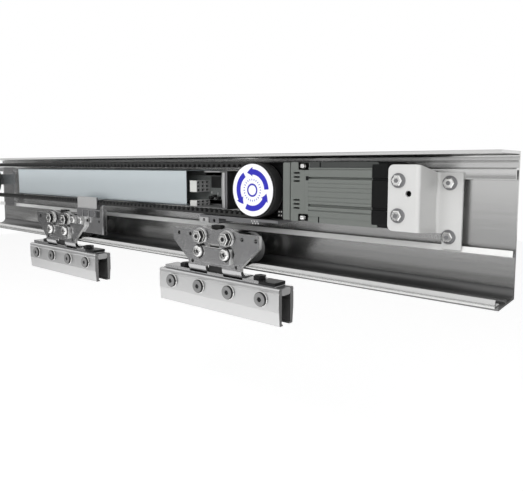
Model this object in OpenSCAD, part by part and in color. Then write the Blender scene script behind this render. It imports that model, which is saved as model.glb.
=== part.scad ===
// Sliding door operator, one leaf, seen open on a short length of beam
// X runs along the beam, Y into the wall, Z up
// The origin is the middle of the face that rests on the wall

/* [Beam] */
// Length of the beam
beam_len = 960; // [900:1:1100]
// Height of the beam at the wall
beam_h = 130; // [128:1:136]
// Depth of the beam from the wall to its front lips
beam_d = 60; // [59:0.5:61]
// Thickness of the back wall
back_t = 3; // [2.5:0.1:3.2]
// Thickness of the roof
roof_t = 3; // [2.5:0.1:3.5]
// Height of the small rib under the roof
rib_h = 1.4; // [1:0.1:2]
// How far the small rib stands off the back wall
rib_d = 2.4; // [1.5:0.1:3]
// Middle of the small rib below the roof top
rib_drop = 8.7; // [8:0.1:9.5]
// Top of the upper slot lip below the roof top
lip_drop = 14.4; // [14:0.1:15]
// Height of the upper slot lip
lip_h = 10.4; // [9.5:0.1:11]
// How far both slot lips reach out from the wall
lip_d = 12; // [11.5:0.1:12.5]
// Thickness of the slot lips
lip_t = 2; // [1.8:0.1:2.4]
// Lower edge of the lower slot lip above the beam height line
nose_up = 39; // [38.5:0.1:39.5]
// Height of the lower slot lip
nose_h = 6; // [5.5:0.1:6.5]
// Thickness of the floor
floor_t = 1.7; // [1.5:0.1:1.9]
// Lowest face of the beam above the beam height line
floor_up = 0.8; // [0.6:0.1:1]
// Depth of the low part of the floor from the wall
floor_d = 49; // [48:0.5:50]
// How far the front part of the floor sits above the low part
step_h = 4.2; // [4:0.1:4.5]
// Height of the front lip of the floor
front_lip_h = 7; // [6.5:0.1:7.5]
// Thickness of the front lip
front_lip_t = 2.4; // [2:0.1:2.8]
// Radius of the coves at the foot of the back wall
cove_r = 9; // [7:0.5:10]
// Distance of the rail bead from the wall
bead_y = 27; // [26.5:0.5:28]
// Radius of the top of the rail bead
bead_r = 2; // [1.8:0.1:2.2]

/* [Wheels] */
// Radius of the wheel at its flanges
wheel_r = 18.5; // [18:0.1:18.6]
// Radius at the bottom of the wheel groove
tread_r = 15.2; // [15:0.1:15.3]
// Width of the wheel
wheel_w = 12; // [11:0.5:12.5]
// Width of the flat at the bottom of the groove
groove_w = 4.8; // [4.6:0.1:5]
// Width of the groove at the flange tops
groove_top_w = 8.4; // [8:0.1:9]
// Gap between the rail bead and the wheel groove
rail_gap = 0.3; // [0.3:0.05:0.4]
// Radius of the axle journal
journal_r = 5; // [4.5:0.1:5.5]
// Running clearance between journal and wheel
run_fit = 0.05; // [0.02:0.01:0.08]
// Radius of the boss of the wheel
hub_r = 9; // [8.5:0.1:9.5]
// How far the boss stands out on each side
hub_step = 0.6; // [0.4:0.1:0.8]
// Radius of the retaining head behind the wheel
keep_r = 7.5; // [7:0.1:8]
// Thickness of the retaining head
keep_t = 2.4; // [2:0.1:3]
// Gap between the wheel and the retaining head
keep_gap = 0.5; // [0.4:0.1:0.8]
// Distance between the two wheels of a hanger
wheel_gap = 42; // [41.5:0.5:43]
// How far the wheel axis sits above its bolt head
eccentric = 3; // [2.5:0.1:3.2]

/* [Hangers] */
// Middle of the right hanger from the middle of the beam
right_x = 177; // [170:1:180]
// Middle of the left hanger from the middle of the beam
left_x = -156; // [-160:1:-150]
// Distance of the back of the hanger plate from the beam front
plate_off = 2; // [1.8:0.1:2.5]
// Thickness of the hanger plate
plate_t = 4; // [3.5:0.1:4.5]
// Half width of the hanger plate at its wings
wing_x = 68; // [66:0.5:70]
// Half width of the hanger plate at its foot
foot_x = 42; // [41:0.5:43]
// Half width of the gap between the two feet
foot_gap_x = 13; // [12:0.5:14]
// Height of the upper nuts above the bolt heads below
nut_rise = 17.5; // [17:0.1:18]
// Radius of the rounded bumps around the upper nuts
bump_r = 12; // [11.5:0.1:12.5]
// Drop of the wing top below the bump top
wing_drop = 5.2; // [4.5:0.1:6]
// Drop of the plate top between the bumps
notch_drop = 4; // [3.5:0.1:4.5]
// Height of the straight wing ends
wing_h = 14; // [13:0.5:15]
// Height of the sloping wing edges
wing_slope_h = 23; // [22:0.5:24]
// Radius of the small holes in the wings
small_hole_r = 2.3; // [2:0.1:2.6]
// Half width of the window in the plate
window_x = 9; // [8:0.5:9.5]
// Height of the window in the plate
window_h = 8; // [7:0.5:8.5]
// Thickness of the feet
foot_t = 3; // [2.8:0.1:3.1]
// Outer radius of the bend to the feet
bend_r = 5; // [4.5:0.1:5.5]
// Reach of the feet towards the wall
foot_d = 24; // [22:0.5:26]
// Gap between the beam bottom and the feet
foot_gap = 6; // [5.6:0.1:6.4]
// Half width of the strap across the bolt heads
strap_x = 27; // [26:0.5:28]
// Height of the strap
strap_h = 18; // [17:0.5:19]
// Thickness of the strap
strap_t = 3; // [2.5:0.1:3.5]
// Radius of the bolt shanks
bolt_r = 4; // [3.8:0.1:4.2]
// Clearance around bolts
bolt_gap = 0.2; // [0.1:0.05:0.3]
// Radius of the round heads on the strap
head_r = 7; // [6.5:0.1:7.5]
// Height of the round heads on the strap
head_h = 4.5; // [4:0.1:5]
// Radius of the washers under the upper nuts
washer_r = 9.5; // [9:0.1:10]
// Thickness of the washers
washer_t = 1.6; // [1.4:0.1:2]
// Radius of the upper nuts over their corners
nut_r = 7.5; // [7:0.1:8]
// Height of the upper nuts
nut_h = 6; // [5.5:0.1:6.5]
// Half width of the anti lift block
block_x = 30; // [29:0.5:31]
// Height of the anti lift block
block_h = 13; // [12:0.5:14]
// Gap between the anti lift block and the wheels
block_gap = 1.5; // [1.2:0.1:2]
// Half width of the finger of the anti lift block
finger_x = 5; // [4:0.5:5.5]
// Thickness of the finger
finger_t = 3.5; // [3:0.1:3.8]
// Lift that the finger allows
lift_gap = 1.5; // [1.3:0.1:1.8]

/* [Glass clamps] */
// Length of each clamp
clamp_len = 190; // [185:1:195]
// Height of each clamp
clamp_h = 40; // [39:0.5:41]
// Width of each clamp
clamp_w = 26; // [25.5:0.5:27]
// Width of the glass slot
slot_w = 13; // [12.8:0.1:13.4]
// Wall of the jaws beside the slot
jaw_t = 5.4; // [5:0.1:5.6]
// Height of the spacer block inside the clamp
spacer_h = 8; // [7.5:0.5:9]
// Height of the solid upper part of the spacer above the jaws
neck_h = 1.2; // [1:0.1:1.4]
// How far the lower part of the jaws tapers in
jaw_taper = 1.6; // [1.2:0.1:2]
// Height of the tapering lower part
taper_h = 15; // [13:0.5:17]
// Thickness of the rubber liners
liner_t = 1; // [0.9:0.05:1.1]
// Height of the rubber liners
liner_h = 24; // [23:0.5:25]
// Spacing of the clamp bolts
clamp_pitch = 47.4; // [46:0.1:48]
// Height of the clamp bolts below the clamp top
clamp_bolt_drop = 13.5; // [13:0.1:14]
// Radius of the clamp bolt heads
clamp_head_r = 6.5; // [6:0.1:7]
// Height of the clamp bolt heads
clamp_head_h = 3.4; // [3:0.1:4]
// Half length of the bar on top of the clamp
bar_x = 87; // [85:0.5:90]
// Width of the bar
bar_w = 20; // [19:0.5:21]
// Thickness of the bar
bar_t = 3.5; // [3.3:0.1:3.7]
// Depth of the pockets in the bar for the feet
pocket_h = 2.5; // [2.3:0.1:2.6]
// Distance of the black bolts from the hanger middle
bar_bolt_x = 59; // [58:0.5:60]
// Radius of the black bolt heads over their corners
black_r = 7.5; // [7:0.1:8]
// Height of the black bolt heads
black_h = 4; // [3.6:0.1:4.4]
// Distance of the middle of the clamp from the wall
clamp_y = 54; // [53.5:0.5:54.5]

/* [Belt drive] */
// Distance of the pulley axis from the right end of the beam
pulley_end = 251; // [248:1:254]
// Distance of the idler axis from the left end of the beam
idler_end = 50; // [49:1:55]
// Drop of the pulley axis below the roof top
pulley_drop = 39; // [38.8:0.1:39.4]
// Pitch radius of the belt on the pulleys
belt_pitch_r = 29; // [28.5:0.1:29.3]
// Thickness of the belt back
belt_t = 2.4; // [2.2:0.1:2.5]
// Height of the belt teeth
tooth_h = 3.2; // [3:0.1:3.3]
// Spacing of the belt teeth
tooth_pitch = 8; // [7.8:0.1:8.2]
// Width of the belt
belt_w = 12; // [11:0.5:13]
// Distance of the belt middle from the wall
belt_y = 50; // [49.5:0.5:50.5]
// Gap between belt and pulleys
belt_gap = 0.4; // [0.35:0.05:0.5]
// Thickness of the pulley flanges
flange_t = 1.4; // [1.2:0.1:1.5]
// Gap between the belt and the pulley flanges
flange_gap = 0.4; // [0.3:0.05:0.5]
// Radius of the round label plate
label_r = 29.5; // [29:0.1:29.8]
// Thickness of the label plate
label_t = 0.8; // [0.6:0.1:1]
// Radius of the drive shaft
shaft_r = 6; // [5.5:0.1:6.5]
// Radius of the idler axle
idler_axle_r = 5; // [4.5:0.1:5.5]

/* [Drive unit] */
// Half length of the gearbox
gearbox_x = 33; // [32:0.5:33.5]
// How much longer the gearbox is on the motor side
gearbox_more_x = 6.5; // [6:0.5:7]
// Height of the gearbox and motor
motor_h = 60; // [59:0.5:61]
// Distance of the motor front from the wall
motor_y = 56; // [55.5:0.5:56.5]
// Gap between the motor and the slot lips
motor_gap = 0.6; // [0.5:0.1:0.8]
// Distance of the gearbox front from the wall
gearbox_y = 40; // [39:0.5:41]
// Thickness of the motor flange
flange_x = 10; // [9.5:0.5:10.5]
// Length of the vented cap
cap_x = 17; // [16:0.5:17.5]
// Length of the finned housing
fin_x = 74; // [73:0.5:75]
// Length of the black end cap
end_x = 15.5; // [15:0.5:16]
// Depth of the grooves in the housing
fin_d = 3; // [2.5:0.1:3.5]
// Width of the two deep grooves
deep_groove_h = 3; // [2.5:0.1:3.5]
// Width of the fine grooves
fine_groove_h = 1.2; // [1:0.1:1.4]
// Size of the corner recesses
corner_s = 8; // [7.5:0.5:8.5]
// Radius of the corner screw heads
corner_screw_r = 3; // [2.8:0.1:3.3]
// Radius of the corner screw shanks
corner_shank_r = 2; // [1.8:0.1:2.2]
// Height of the corner screw heads
corner_screw_h = 4; // [3.5:0.1:4.5]
// Height of the base strip under the drive
base_t = 3; // [2.8:0.1:3.2]
// Gap between the motor and the base strip
base_gap = 1.1; // [1:0.1:1.4]
// Height of the tubes and block under the base strip
base_block_h = 6; // [5.5:0.1:6.2]

/* [Motor bracket] */
// Thickness of the bracket
bracket_t = 3; // [2.8:0.1:3.2]
// Width of the front plate of the bracket
bracket_front_x = 29; // [28:0.5:30]
// Gap between the end cap and the front plate
bracket_gap_x = 0.5; // [0.3:0.1:0.8]
// Height of the front plate
bracket_front_h = 59; // [58:0.5:60]
// Drop of the front plate middle below the pulley axis
bracket_drop = 2; // [1.5:0.1:2.4]
// Width of the wall plate of the bracket
bracket_wall_x = 23; // [22:0.5:24]
// Height of the wall plate
bracket_wall_h = 70; // [69:0.5:71]
// Top of the wall plate below the roof top
bracket_wall_drop = 18.6; // [18:0.1:19]
// Radius of the corners of the front plate
bracket_r = 5; // [4.5:0.1:5.5]
// Spacing of the bolts in the front plate
bracket_pitch = 31; // [30.5:0.1:31.5]
// Radius of the hex bolts over their corners
hex_r = 5.2; // [5:0.1:5.6]
// Height of the hex bolt heads
hex_h = 4; // [3.6:0.1:4.4]
// Radius of the collars of the hex bolts
collar_r = 6.6; // [6.2:0.1:6.8]
// Thickness of the collars
collar_t = 1.2; // [1:0.1:1.4]
// Radius of the bracket bolt shanks
stud_r = 2.8; // [2.6:0.1:3]
// Radius of the free hole in the front plate
free_hole_r = 2.7; // [2.5:0.1:3]

/* [Controller] */
// Length of the controller cover
cover_x = 434; // [430:1:438]
// Height of the controller cover
cover_h = 44.5; // [44:0.5:45]
// Distance of the cover front from the wall
cover_y = 47; // [46.5:0.5:47.5]
// Thickness of the cover sheet
cover_t = 1.2; // [1:0.1:1.5]
// Gap between the cover end and the gearbox
cover_gap_x = 123.5; // [122:0.5:125]
// Length of the chassis beyond the cover end
chassis_more_x = 66; // [65:0.5:67]
// Thickness of the chassis sheet
chassis_t = 1.5; // [1.2:0.1:1.6]
// Drop of the chassis floor below the cover
chassis_drop = 1.5; // [1.4:0.1:1.8]
// Distance of the circuit board from the wall
board_y = 22; // [21:0.5:23]
// Thickness of the circuit board
board_t = 1.6; // [1.5:0.1:1.8]
// Width of the connectors
conn_x = 12; // [11:0.5:13]
// Height of the upper connector
conn_h = 14; // [13.5:0.5:15]
// Height of the lower connector
conn_low_h = 7; // [6:0.5:7]
// Depth of the wire holes
conn_hole_d = 3; // [2.5:0.1:4]

/* [Belt clip] */
// Distance of the clip plate ends from the hanger middle
clip_end_x = 114; // [113:0.5:115]
// Length of the clip plate
clip_len = 80; // [79:0.5:81]
// Height of the clip plate
clip_h = 22; // [21:0.5:23]
// Thickness of the clip plate
clip_t = 1.6; // [1.4:0.1:1.7]
// Height of the end flange of the clip plate above the plate
clip_rise = 20; // [19:0.5:20.5]
// Length of the clip block
clip_block_x = 50; // [49:0.5:51]
// Thickness of the front jaw of the clip block
clip_jaw_t = 2.6; // [2.4:0.1:2.7]
// Gap between the clip block and the belt
clip_gap = 0.4; // [0.35:0.05:0.45]

/* [Hidden] */
$fn = 64;
z_top = beam_h / 2;
pulley_x = beam_len / 2 - pulley_end;
idler_x = idler_end - beam_len / 2;
pulley_z = z_top - pulley_drop;
z_bot = -beam_h / 2;
floor_low = z_bot + floor_up;
floor_top = floor_low + floor_t;
front_floor_low = floor_low + step_h;
nose_low = z_bot + nose_up;
nose_top = nose_low + nose_h;
wheel_z = floor_top + wheel_r + keep_gap;
bead_top = wheel_z - tread_r - rail_gap;
head_z = wheel_z - eccentric;
nut_z = head_z + nut_rise;
plate_back = beam_d + plate_off;
plate_front = plate_back + plate_t;
plate_top = nut_z + bump_r;
foot_low = floor_low - foot_gap - foot_t;
bar_top = foot_low + pocket_h;
bar_low = bar_top - bar_t;
clamp_top = bar_low - neck_h;
clamp_low = clamp_top - clamp_h;
clamp_front = clamp_y + clamp_w / 2;
clamp_back = clamp_y - clamp_w / 2;
strap_front = plate_front + strap_t;
belt_out_r = belt_pitch_r + belt_t / 2;
belt_in_r = belt_pitch_r - belt_t / 2;
belt_front = belt_y + belt_w / 2;
belt_back = belt_y - belt_w / 2;
drum_r = belt_in_r - tooth_h - belt_gap;
motor_x0 = pulley_x + gearbox_x + gearbox_more_x;
cap_x0 = motor_x0 + flange_x;
fin_x0 = cap_x0 + cap_x;
end_x0 = fin_x0 + fin_x;
motor_top = pulley_z + motor_h / 2;
motor_low = pulley_z - motor_h / 2;
motor_back = lip_d + motor_gap;
bracket_x0 = end_x0 + end_x + bracket_gap_x;
web_x0 = bracket_x0 + bracket_front_x - bracket_t;
wall_x1 = web_x0 + bracket_t + bracket_wall_x;
bracket_z = pulley_z - bracket_drop;
bracket_low = bracket_z - bracket_front_h / 2;
bracket_top = bracket_z + bracket_front_h / 2;
wall_plate_top = z_top - bracket_wall_drop;
wall_plate_low = wall_plate_top - bracket_wall_h;
wall_bolt_x = (web_x0 + bracket_t + wall_x1) / 2;
wall_bolt_z = [z_top - lip_drop - lip_h - collar_r / 2, nose_top + collar_r + collar_t];
front_bolt_z = [bracket_z + bracket_pitch / 2, bracket_z - bracket_pitch / 2];
front_bolt_x = bracket_x0 + bracket_front_x / 3;
belt_low = pulley_z - belt_out_r;
base_top = min(belt_low, motor_low) - base_gap;
cover_x1 = motor_x0 - cover_gap_x - gearbox_x;
cover_x0 = cover_x1 - cover_x;
cover_top = pulley_z + cover_h / 2 - cover_t;
cover_low = cover_top - cover_h;
chassis_low = cover_low - chassis_drop;
chassis_x1 = cover_x1 + chassis_more_x;
clip_x1 = left_x + clip_end_x;
clip_x0 = clip_x1 - clip_len;
clip_top = nut_z + (bump_r - wing_drop) - clip_t;
clip_low = clip_top - clip_h;
jaw_share = [-1.5, -0.5, 0.5, 1.5];
wing_hole_share = [-0.85, -0.56, 0.64, 0.93];
clip_hole_share = [0.64, 0.93];
fin_share = [0.377, 0.15, 0.08, 0, -0.08, -0.15, -0.285, -0.373, -0.437];
deep_share = [0.253, -0.22];
vent_share = [0.25, -0.205];
chassis_screw_share = [[0.25, 0.8], [0.85, 0.8], [0.7, 0.25]];

// A box from three corner pairs, depths counted from the wall
module block(x0, x1, d0, d1, z0, z1) {
    translate([x0, -d1, z0]) cube([x1 - x0, d1 - d0, z1 - z0]);
}

// A round bar that runs from depth d0 to depth d1
module rod(x, z, d0, d1, r) {
    translate([x, -d0, z]) rotate([90, 0, 0]) cylinder(h = d1 - d0, r = r);
}

// A hexagon bar that runs from depth d0 to depth d1
module hex_rod(x, z, d0, d1, r) {
    translate([x, -d0, z]) rotate([90, 0, 0]) cylinder(h = d1 - d0, r = r, $fn = 6);
}

// A round bar along the beam
module rod_x(x0, x1, d, z, r) {
    translate([x0, -d, z]) rotate([0, 90, 0]) cylinder(h = x1 - x0, r = r);
}

// A flat shape drawn in X and Z, from depth d0 to depth d1
module slab(d0, d1) {
    translate([0, -d0, 0]) rotate([90, 0, 0]) linear_extrude(height = d1 - d0) children();
}

module beam() {
    color("silver") translate([-beam_len / 2, 0, 0]) rotate([90, 0, 90])
    linear_extrude(height = beam_len) beam_shape();
}

module beam_shape() {
    union() {
        translate([-back_t, floor_low]) square([back_t, z_top - floor_low]);
        translate([-beam_d, z_top - roof_t]) square([beam_d, roof_t]);
        translate([-back_t - rib_d, z_top - rib_drop - rib_h / 2])
            square([back_t + rib_d, rib_h]);
        translate([-lip_d, z_top - lip_drop - lip_t]) square([lip_d, lip_t]);
        translate([-lip_d, z_top - lip_drop - lip_h]) square([lip_t, lip_h]);
        translate([-lip_d, nose_low]) square([lip_d, lip_t]);
        translate([-lip_d, nose_low]) square([lip_t, nose_h]);
        translate([-floor_d, floor_low]) square([floor_d, floor_t]);
        translate([-floor_d, floor_low]) square([floor_t, step_h + floor_t]);
        translate([-beam_d, front_floor_low]) square([beam_d - floor_d + floor_t, floor_t]);
        translate([-beam_d, front_floor_low]) square([front_lip_t, front_lip_h]);
        translate([-bead_y - bead_r, floor_low])
            square([2 * bead_r, bead_top - bead_r - floor_low]);
        translate([-bead_y, bead_top - bead_r]) circle(r = bead_r);
        difference() {
            translate([-back_t - cove_r, floor_low])
                square([back_t / 2 + cove_r, cove_r + floor_t]);
            translate([-back_t - cove_r, floor_top + cove_r]) circle(r = cove_r);
        }
    }
}

module drive_base() {
    z1 = base_top;
    z0 = z1 - base_t;
    x0 = pulley_x - label_r * 2.87;
    tube_s = base_block_h;
    color("dimgray") difference() {
        union() {
            block(x0, pulley_x + gearbox_x, back_t, belt_front, z0, z1);
            for (i = [0, 1])
                block(x0 + i * tube_s * 2.8, x0 + i * tube_s * 2.8 + tube_s * 2.5,
                    lip_d + lip_t, belt_front, z0 - tube_s, z0);
            block(pulley_x - label_r * 1.42, pulley_x + label_r / 4,
                lip_d + lip_t, belt_front, z0 - tube_s / 3, z0);
            block(pulley_x - gearbox_x, pulley_x + gearbox_x, back_t, lip_d, z0, motor_low);
        }
        for (i = [0, 1])
            rod(x0 + i * tube_s * 2.8 + tube_s * 1.25, z0 - tube_s / 2, 0, beam_d, tube_s / 4);
    }
}

module gearbox() {
    color("black") difference() {
        block(pulley_x - gearbox_x, motor_x0, motor_back, gearbox_y, motor_low, motor_top);
        rod(pulley_x, pulley_z, motor_back + bracket_t, beam_d, shaft_r + run_fit);
    }
}

module motor_flange() {
    color("dimgray") block(motor_x0, cap_x0, motor_back, motor_y, motor_low, motor_top);
}

module vent_cap() {
    slot_h = deep_groove_h / 2;
    color("dimgray") difference() {
        block(cap_x0, fin_x0, motor_back, motor_y, motor_low, motor_top);
        for (k = vent_share) for (i = [-1, 0, 1])
            block(cap_x0 + cap_x * 0.2, cap_x0 + cap_x * 0.65, motor_y - fin_d, motor_y + fin_d,
                pulley_z + k * motor_h + i * slot_h * 2.7 - slot_h / 2,
                pulley_z + k * motor_h + i * slot_h * 2.7 + slot_h / 2);
        for (s = [0, 1])
            block(fin_x0 - corner_screw_h * 1.5, fin_x0 + corner_s, motor_y - corner_s,
                motor_y + corner_s, motor_low + s * (motor_h - corner_s),
                motor_low + s * (motor_h - corner_s) + corner_s);
    }
}

module motor_housing() {
    color("dimgray") difference() {
        block(fin_x0, end_x0, motor_back, motor_y, motor_low, motor_top);
        for (s = [0, 1])
            block(fin_x0 - corner_s, fin_x0 + corner_s, motor_y - corner_s, motor_y + corner_s,
                motor_low + s * (motor_h - corner_s),
                motor_low + s * (motor_h - corner_s) + corner_s);
        for (k = deep_share)
            block(fin_x0 + corner_s / 2, end_x0 + end_x, motor_y - fin_d, motor_y + fin_d,
                pulley_z + k * motor_h - deep_groove_h / 2,
                pulley_z + k * motor_h + deep_groove_h / 2);
        for (k = fin_share)
            block(fin_x0 + corner_s, end_x0 + end_x, motor_y - fine_groove_h,
                motor_y + fine_groove_h, pulley_z + k * motor_h - fine_groove_h / 2,
                pulley_z + k * motor_h + fine_groove_h / 2);
    }
}

module motor_end_cap() {
    color("black") union() {
        block(end_x0, end_x0 + end_x, motor_back, motor_y, motor_low, motor_top);
        block(end_x0 + end_x / 2, web_x0 - bracket_gap_x, motor_back, motor_y - bracket_t * 2,
            motor_low + corner_s, motor_top - corner_s);
        for (z = front_bolt_z)
            rod(front_bolt_x, z, motor_y - bracket_t * 3, motor_y - bracket_t, collar_r);
    }
}

module motor_screws() {
    color("silver") for (s = [0, 1]) {
        z = motor_low + corner_s / 2 + s * (motor_h - corner_s);
        rod_x(fin_x0 - corner_screw_h * 1.5, fin_x0 - corner_screw_h / 2,
            motor_y - corner_s / 2, z, corner_screw_r);
    }
}

module motor_bracket() {
    d0 = lip_d;
    d1 = motor_y;
    color("whitesmoke") difference() {
        union() {
            slab(d1 - bracket_t, d1) front_plate_shape();
            translate([web_x0, 0, 0]) rotate([90, 0, 90])
            linear_extrude(height = bracket_t)
            polygon([[-d1, bracket_top], [-d0 - bracket_t * 3, wall_plate_top],
                [-d0, wall_plate_top], [-d0, bracket_low - bracket_t * 1.5],
                [-d0 - bracket_t * 3, bracket_low - bracket_t * 1.5], [-d1, bracket_low]]);
            block(web_x0, wall_x1, d0, d0 + bracket_t, bracket_low - bracket_t, wall_plate_top);
            block(web_x0 + bracket_t * 2.8, wall_x1, d0, d0 + bracket_t, wall_plate_low,
                wall_plate_top);
        }
        for (z = front_bolt_z) rod(front_bolt_x, z, d0, d1 + bracket_t, stud_r + bolt_gap);
        for (z = wall_bolt_z) rod(wall_bolt_x, z, 0, d1, stud_r + bolt_gap);
        rod(bracket_x0 + bracket_front_x * 0.66, bracket_z + bracket_front_h * 0.07,
            d1 - bracket_t * 2, d1 + bracket_t, free_hole_r);
    }
}

module front_plate_shape() {
    union() {
        translate([bracket_x0 + bracket_r, bracket_low])
            square([bracket_front_x - bracket_r, bracket_front_h]);
        translate([bracket_x0, bracket_low + bracket_r])
            square([bracket_front_x, bracket_front_h - 2 * bracket_r]);
        translate([bracket_x0 + bracket_r, bracket_low + bracket_r]) circle(r = bracket_r);
        translate([bracket_x0 + bracket_r, bracket_top - bracket_r]) circle(r = bracket_r);
    }
}

module hex_bolt(x, z, d, len) {
    rod(x, z, d, d + collar_t, collar_r);
    hex_rod(x, z, d + collar_t, d + collar_t + hex_h, hex_r);
    rod(x, z, d - len, d, stud_r);
}

module bracket_bolts() {
    color("silver") {
        for (z = front_bolt_z) hex_bolt(front_bolt_x, z, motor_y, bracket_t);
        for (z = wall_bolt_z) hex_bolt(wall_bolt_x, z, lip_d + bracket_t, bracket_t + lip_t);
    }
}

module slot_nuts() {
    w = collar_r;
    color("gray") for (z = wall_bolt_z)
        block(wall_bolt_x - w, wall_bolt_x + w, back_t + lip_t, lip_d - lip_t, z - w, z + w);
}

module belt_shape() {
    span = pulley_x - idler_x;
    n = floor(span / tooth_pitch);
    difference() {
        belt_loop(belt_out_r);
        belt_loop(belt_in_r);
    }
    for (s = [-1, 1]) for (i = [0:n - 1])
        translate([idler_x + (i + 0.5) * tooth_pitch - tooth_pitch / 4,
            pulley_z + s * (belt_in_r - tooth_h / 2) - tooth_h / 2])
            square([tooth_pitch / 2, tooth_h]);
}

module belt_loop(r) {
    translate([pulley_x, pulley_z]) circle(r = r);
    translate([idler_x, pulley_z]) circle(r = r);
    translate([idler_x, pulley_z - r]) square([pulley_x - idler_x, 2 * r]);
}

module belt() {
    color("black") slab(belt_back, belt_front) belt_shape();
}

module chassis() {
    color("dimgray") difference() {
        chassis_body();
        for (p = chassis_screw_share)
            rod(cover_x1 + chassis_more_x * p[0], cover_low + cover_h * p[1], back_t + lip_t,
                lip_d + chassis_t * 2, corner_shank_r / 1.5 + bolt_gap);
    }
}

module chassis_body() {
    d1 = min(cover_y - cover_t * 2, belt_back - belt_gap);
    union() {
        block(cover_x0 + cover_t, chassis_x1, lip_d, lip_d + chassis_t, cover_low + cover_t,
            cover_top - cover_t);
        block(cover_x1 + cover_t, chassis_x1, lip_d, lip_d + chassis_t, chassis_low,
            cover_top - cover_t);
        block(cover_x1 + cover_t, chassis_x1, lip_d, d1, chassis_low,
            chassis_low + chassis_t);
        block(chassis_x1 - conn_x, chassis_x1, lip_d, d1, cover_top - cover_t - chassis_t,
            cover_top - cover_t);
        block(chassis_x1 - chassis_t, chassis_x1, lip_d, d1, chassis_low,
            cover_top - cover_t);
        for (i = [0.1, 0.5, 0.9])
            block(cover_x0 + cover_x * i - conn_x, cover_x0 + cover_x * i + conn_x,
                back_t, lip_d, cover_low + conn_h, cover_top - conn_h);
    }
}

module cover() {
    color("lightsteelblue") difference() {
        block(cover_x0, cover_x1, lip_d, cover_y, cover_low, cover_top);
        block(cover_x0 + cover_t, cover_x1 + cover_t, lip_d - cover_t, cover_y - cover_t,
            cover_low + cover_t, cover_top - cover_t);
    }
}

module circuit_board() {
    color("darkgreen") union() {
        block(cover_x0 + conn_x, chassis_x1 - conn_x * 2, board_y - board_t, board_y,
            cover_low + conn_h / 2, cover_top - conn_h / 2);
        for (i = [0.1, 0.35, 0.65, 0.9])
            block(cover_x0 + cover_x * i, cover_x0 + cover_x * i + board_t * 2,
                lip_d + chassis_t, board_y - board_t, pulley_z, pulley_z + board_t * 2);
    }
}

module connector(z0, h) {
    x0 = cover_x1 + conn_x / 3;
    d1 = cover_y - cover_t * 2;
    pitch = h / 3;
    difference() {
        block(x0, x0 + conn_x, board_y, d1, z0, z0 + h);
        for (i = [0:2]) for (j = [0:2])
            block(x0 + conn_x - conn_hole_d, x0 + conn_x + conn_hole_d,
                d1 - (i + 0.75) * (d1 - board_y) / 4.2, d1 - (i + 0.35) * (d1 - board_y) / 4.2,
                z0 + (j + 0.28) * pitch, z0 + (j + 0.72) * pitch);
    }
}

module connectors() {
    color("whitesmoke") {
        connector(pulley_z - conn_h * 0.43, conn_h);
        connector(chassis_low + chassis_t, conn_low_h);
    }
}

module chassis_screws() {
    d = lip_d + chassis_t;
    color("silver") for (p = chassis_screw_share) {
        rod(cover_x1 + chassis_more_x * p[0], cover_low + cover_h * p[1], d,
            d + corner_screw_r, corner_screw_r);
        rod(cover_x1 + chassis_more_x * p[0], cover_low + cover_h * p[1], back_t + lip_t,
            d, corner_shank_r / 1.5);
    }
}

module idler_bracket() {
    w = belt_pitch_r;
    color("gray") difference() {
        union() {
            block(idler_x - w / 1.5, idler_x + w / 1.5, lip_d, lip_d + bracket_t, nose_low,
                z_top - lip_drop - lip_t);
            block(idler_x - w / 1.5, idler_x + w / 1.5, lip_d + bracket_t,
                belt_back - flange_t * 4, pulley_z - w / 3, pulley_z + w / 3);
            block(idler_x - w * 1.5, idler_x - w / 2, lip_d, lip_d + bracket_t,
                pulley_z - w / 3, pulley_z + w / 3);
            block(idler_x - w * 1.5, idler_x - w * 1.5 + bracket_t, lip_d,
                belt_back - flange_t * 4, pulley_z - w / 3, pulley_z + w / 3);
        }
        rod(idler_x, pulley_z, lip_d + bracket_t, beam_d, idler_axle_r);
        rod_x(idler_x - w * 2, idler_x - w * 1.2, (lip_d + belt_back) / 2, pulley_z,
            stud_r + bolt_gap);
    }
}

module idler_axle() {
    color("silver") union() {
        rod(idler_x, pulley_z, lip_d + bracket_t, belt_front + flange_t + flange_gap * 2,
            idler_axle_r);
        rod(idler_x, pulley_z, belt_front + flange_t + flange_gap * 2,
            belt_front + flange_t * 2.5 + flange_gap * 2, idler_axle_r * 1.5);
    }
}

module tension_screw() {
    w = belt_pitch_r;
    color("silver") union() {
        rod_x(idler_x - w * 1.5 - hex_h, idler_x - w / 1.5, (lip_d + belt_back) / 2, pulley_z,
            stud_r);
        translate([idler_x - w * 1.5 - hex_h, -(lip_d + belt_back) / 2, pulley_z])
            rotate([0, 90, 0]) cylinder(h = hex_h, r = hex_r, $fn = 6);
    }
}

module pulley_body(x, bore) {
    d0 = belt_back - flange_gap;
    d1 = belt_front + flange_gap;
    difference() {
        union() {
            rod(x, pulley_z, d0, d1, drum_r);
            rod(x, pulley_z, d0 - flange_t, d0, belt_out_r);
            rod(x, pulley_z, d1, d1 + flange_t, belt_in_r);
        }
        rod(x, pulley_z, 0, beam_d + flange_t * 2, bore);
    }
}

module drive_pulley() {
    color("gray") pulley_body(pulley_x, shaft_r);
}

module pulley_label() {
    d = belt_front + flange_gap + flange_t;
    color("white") rod(pulley_x, pulley_z, d, d + label_t, label_r);
}

module drive_shaft() {
    color("silver") rod(pulley_x, pulley_z, motor_back + bracket_t + keep_gap,
        belt_front + flange_gap + flange_t, shaft_r);
}

module idler_pulley() {
    color("gray") pulley_body(idler_x, idler_axle_r + run_fit);
}

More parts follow.
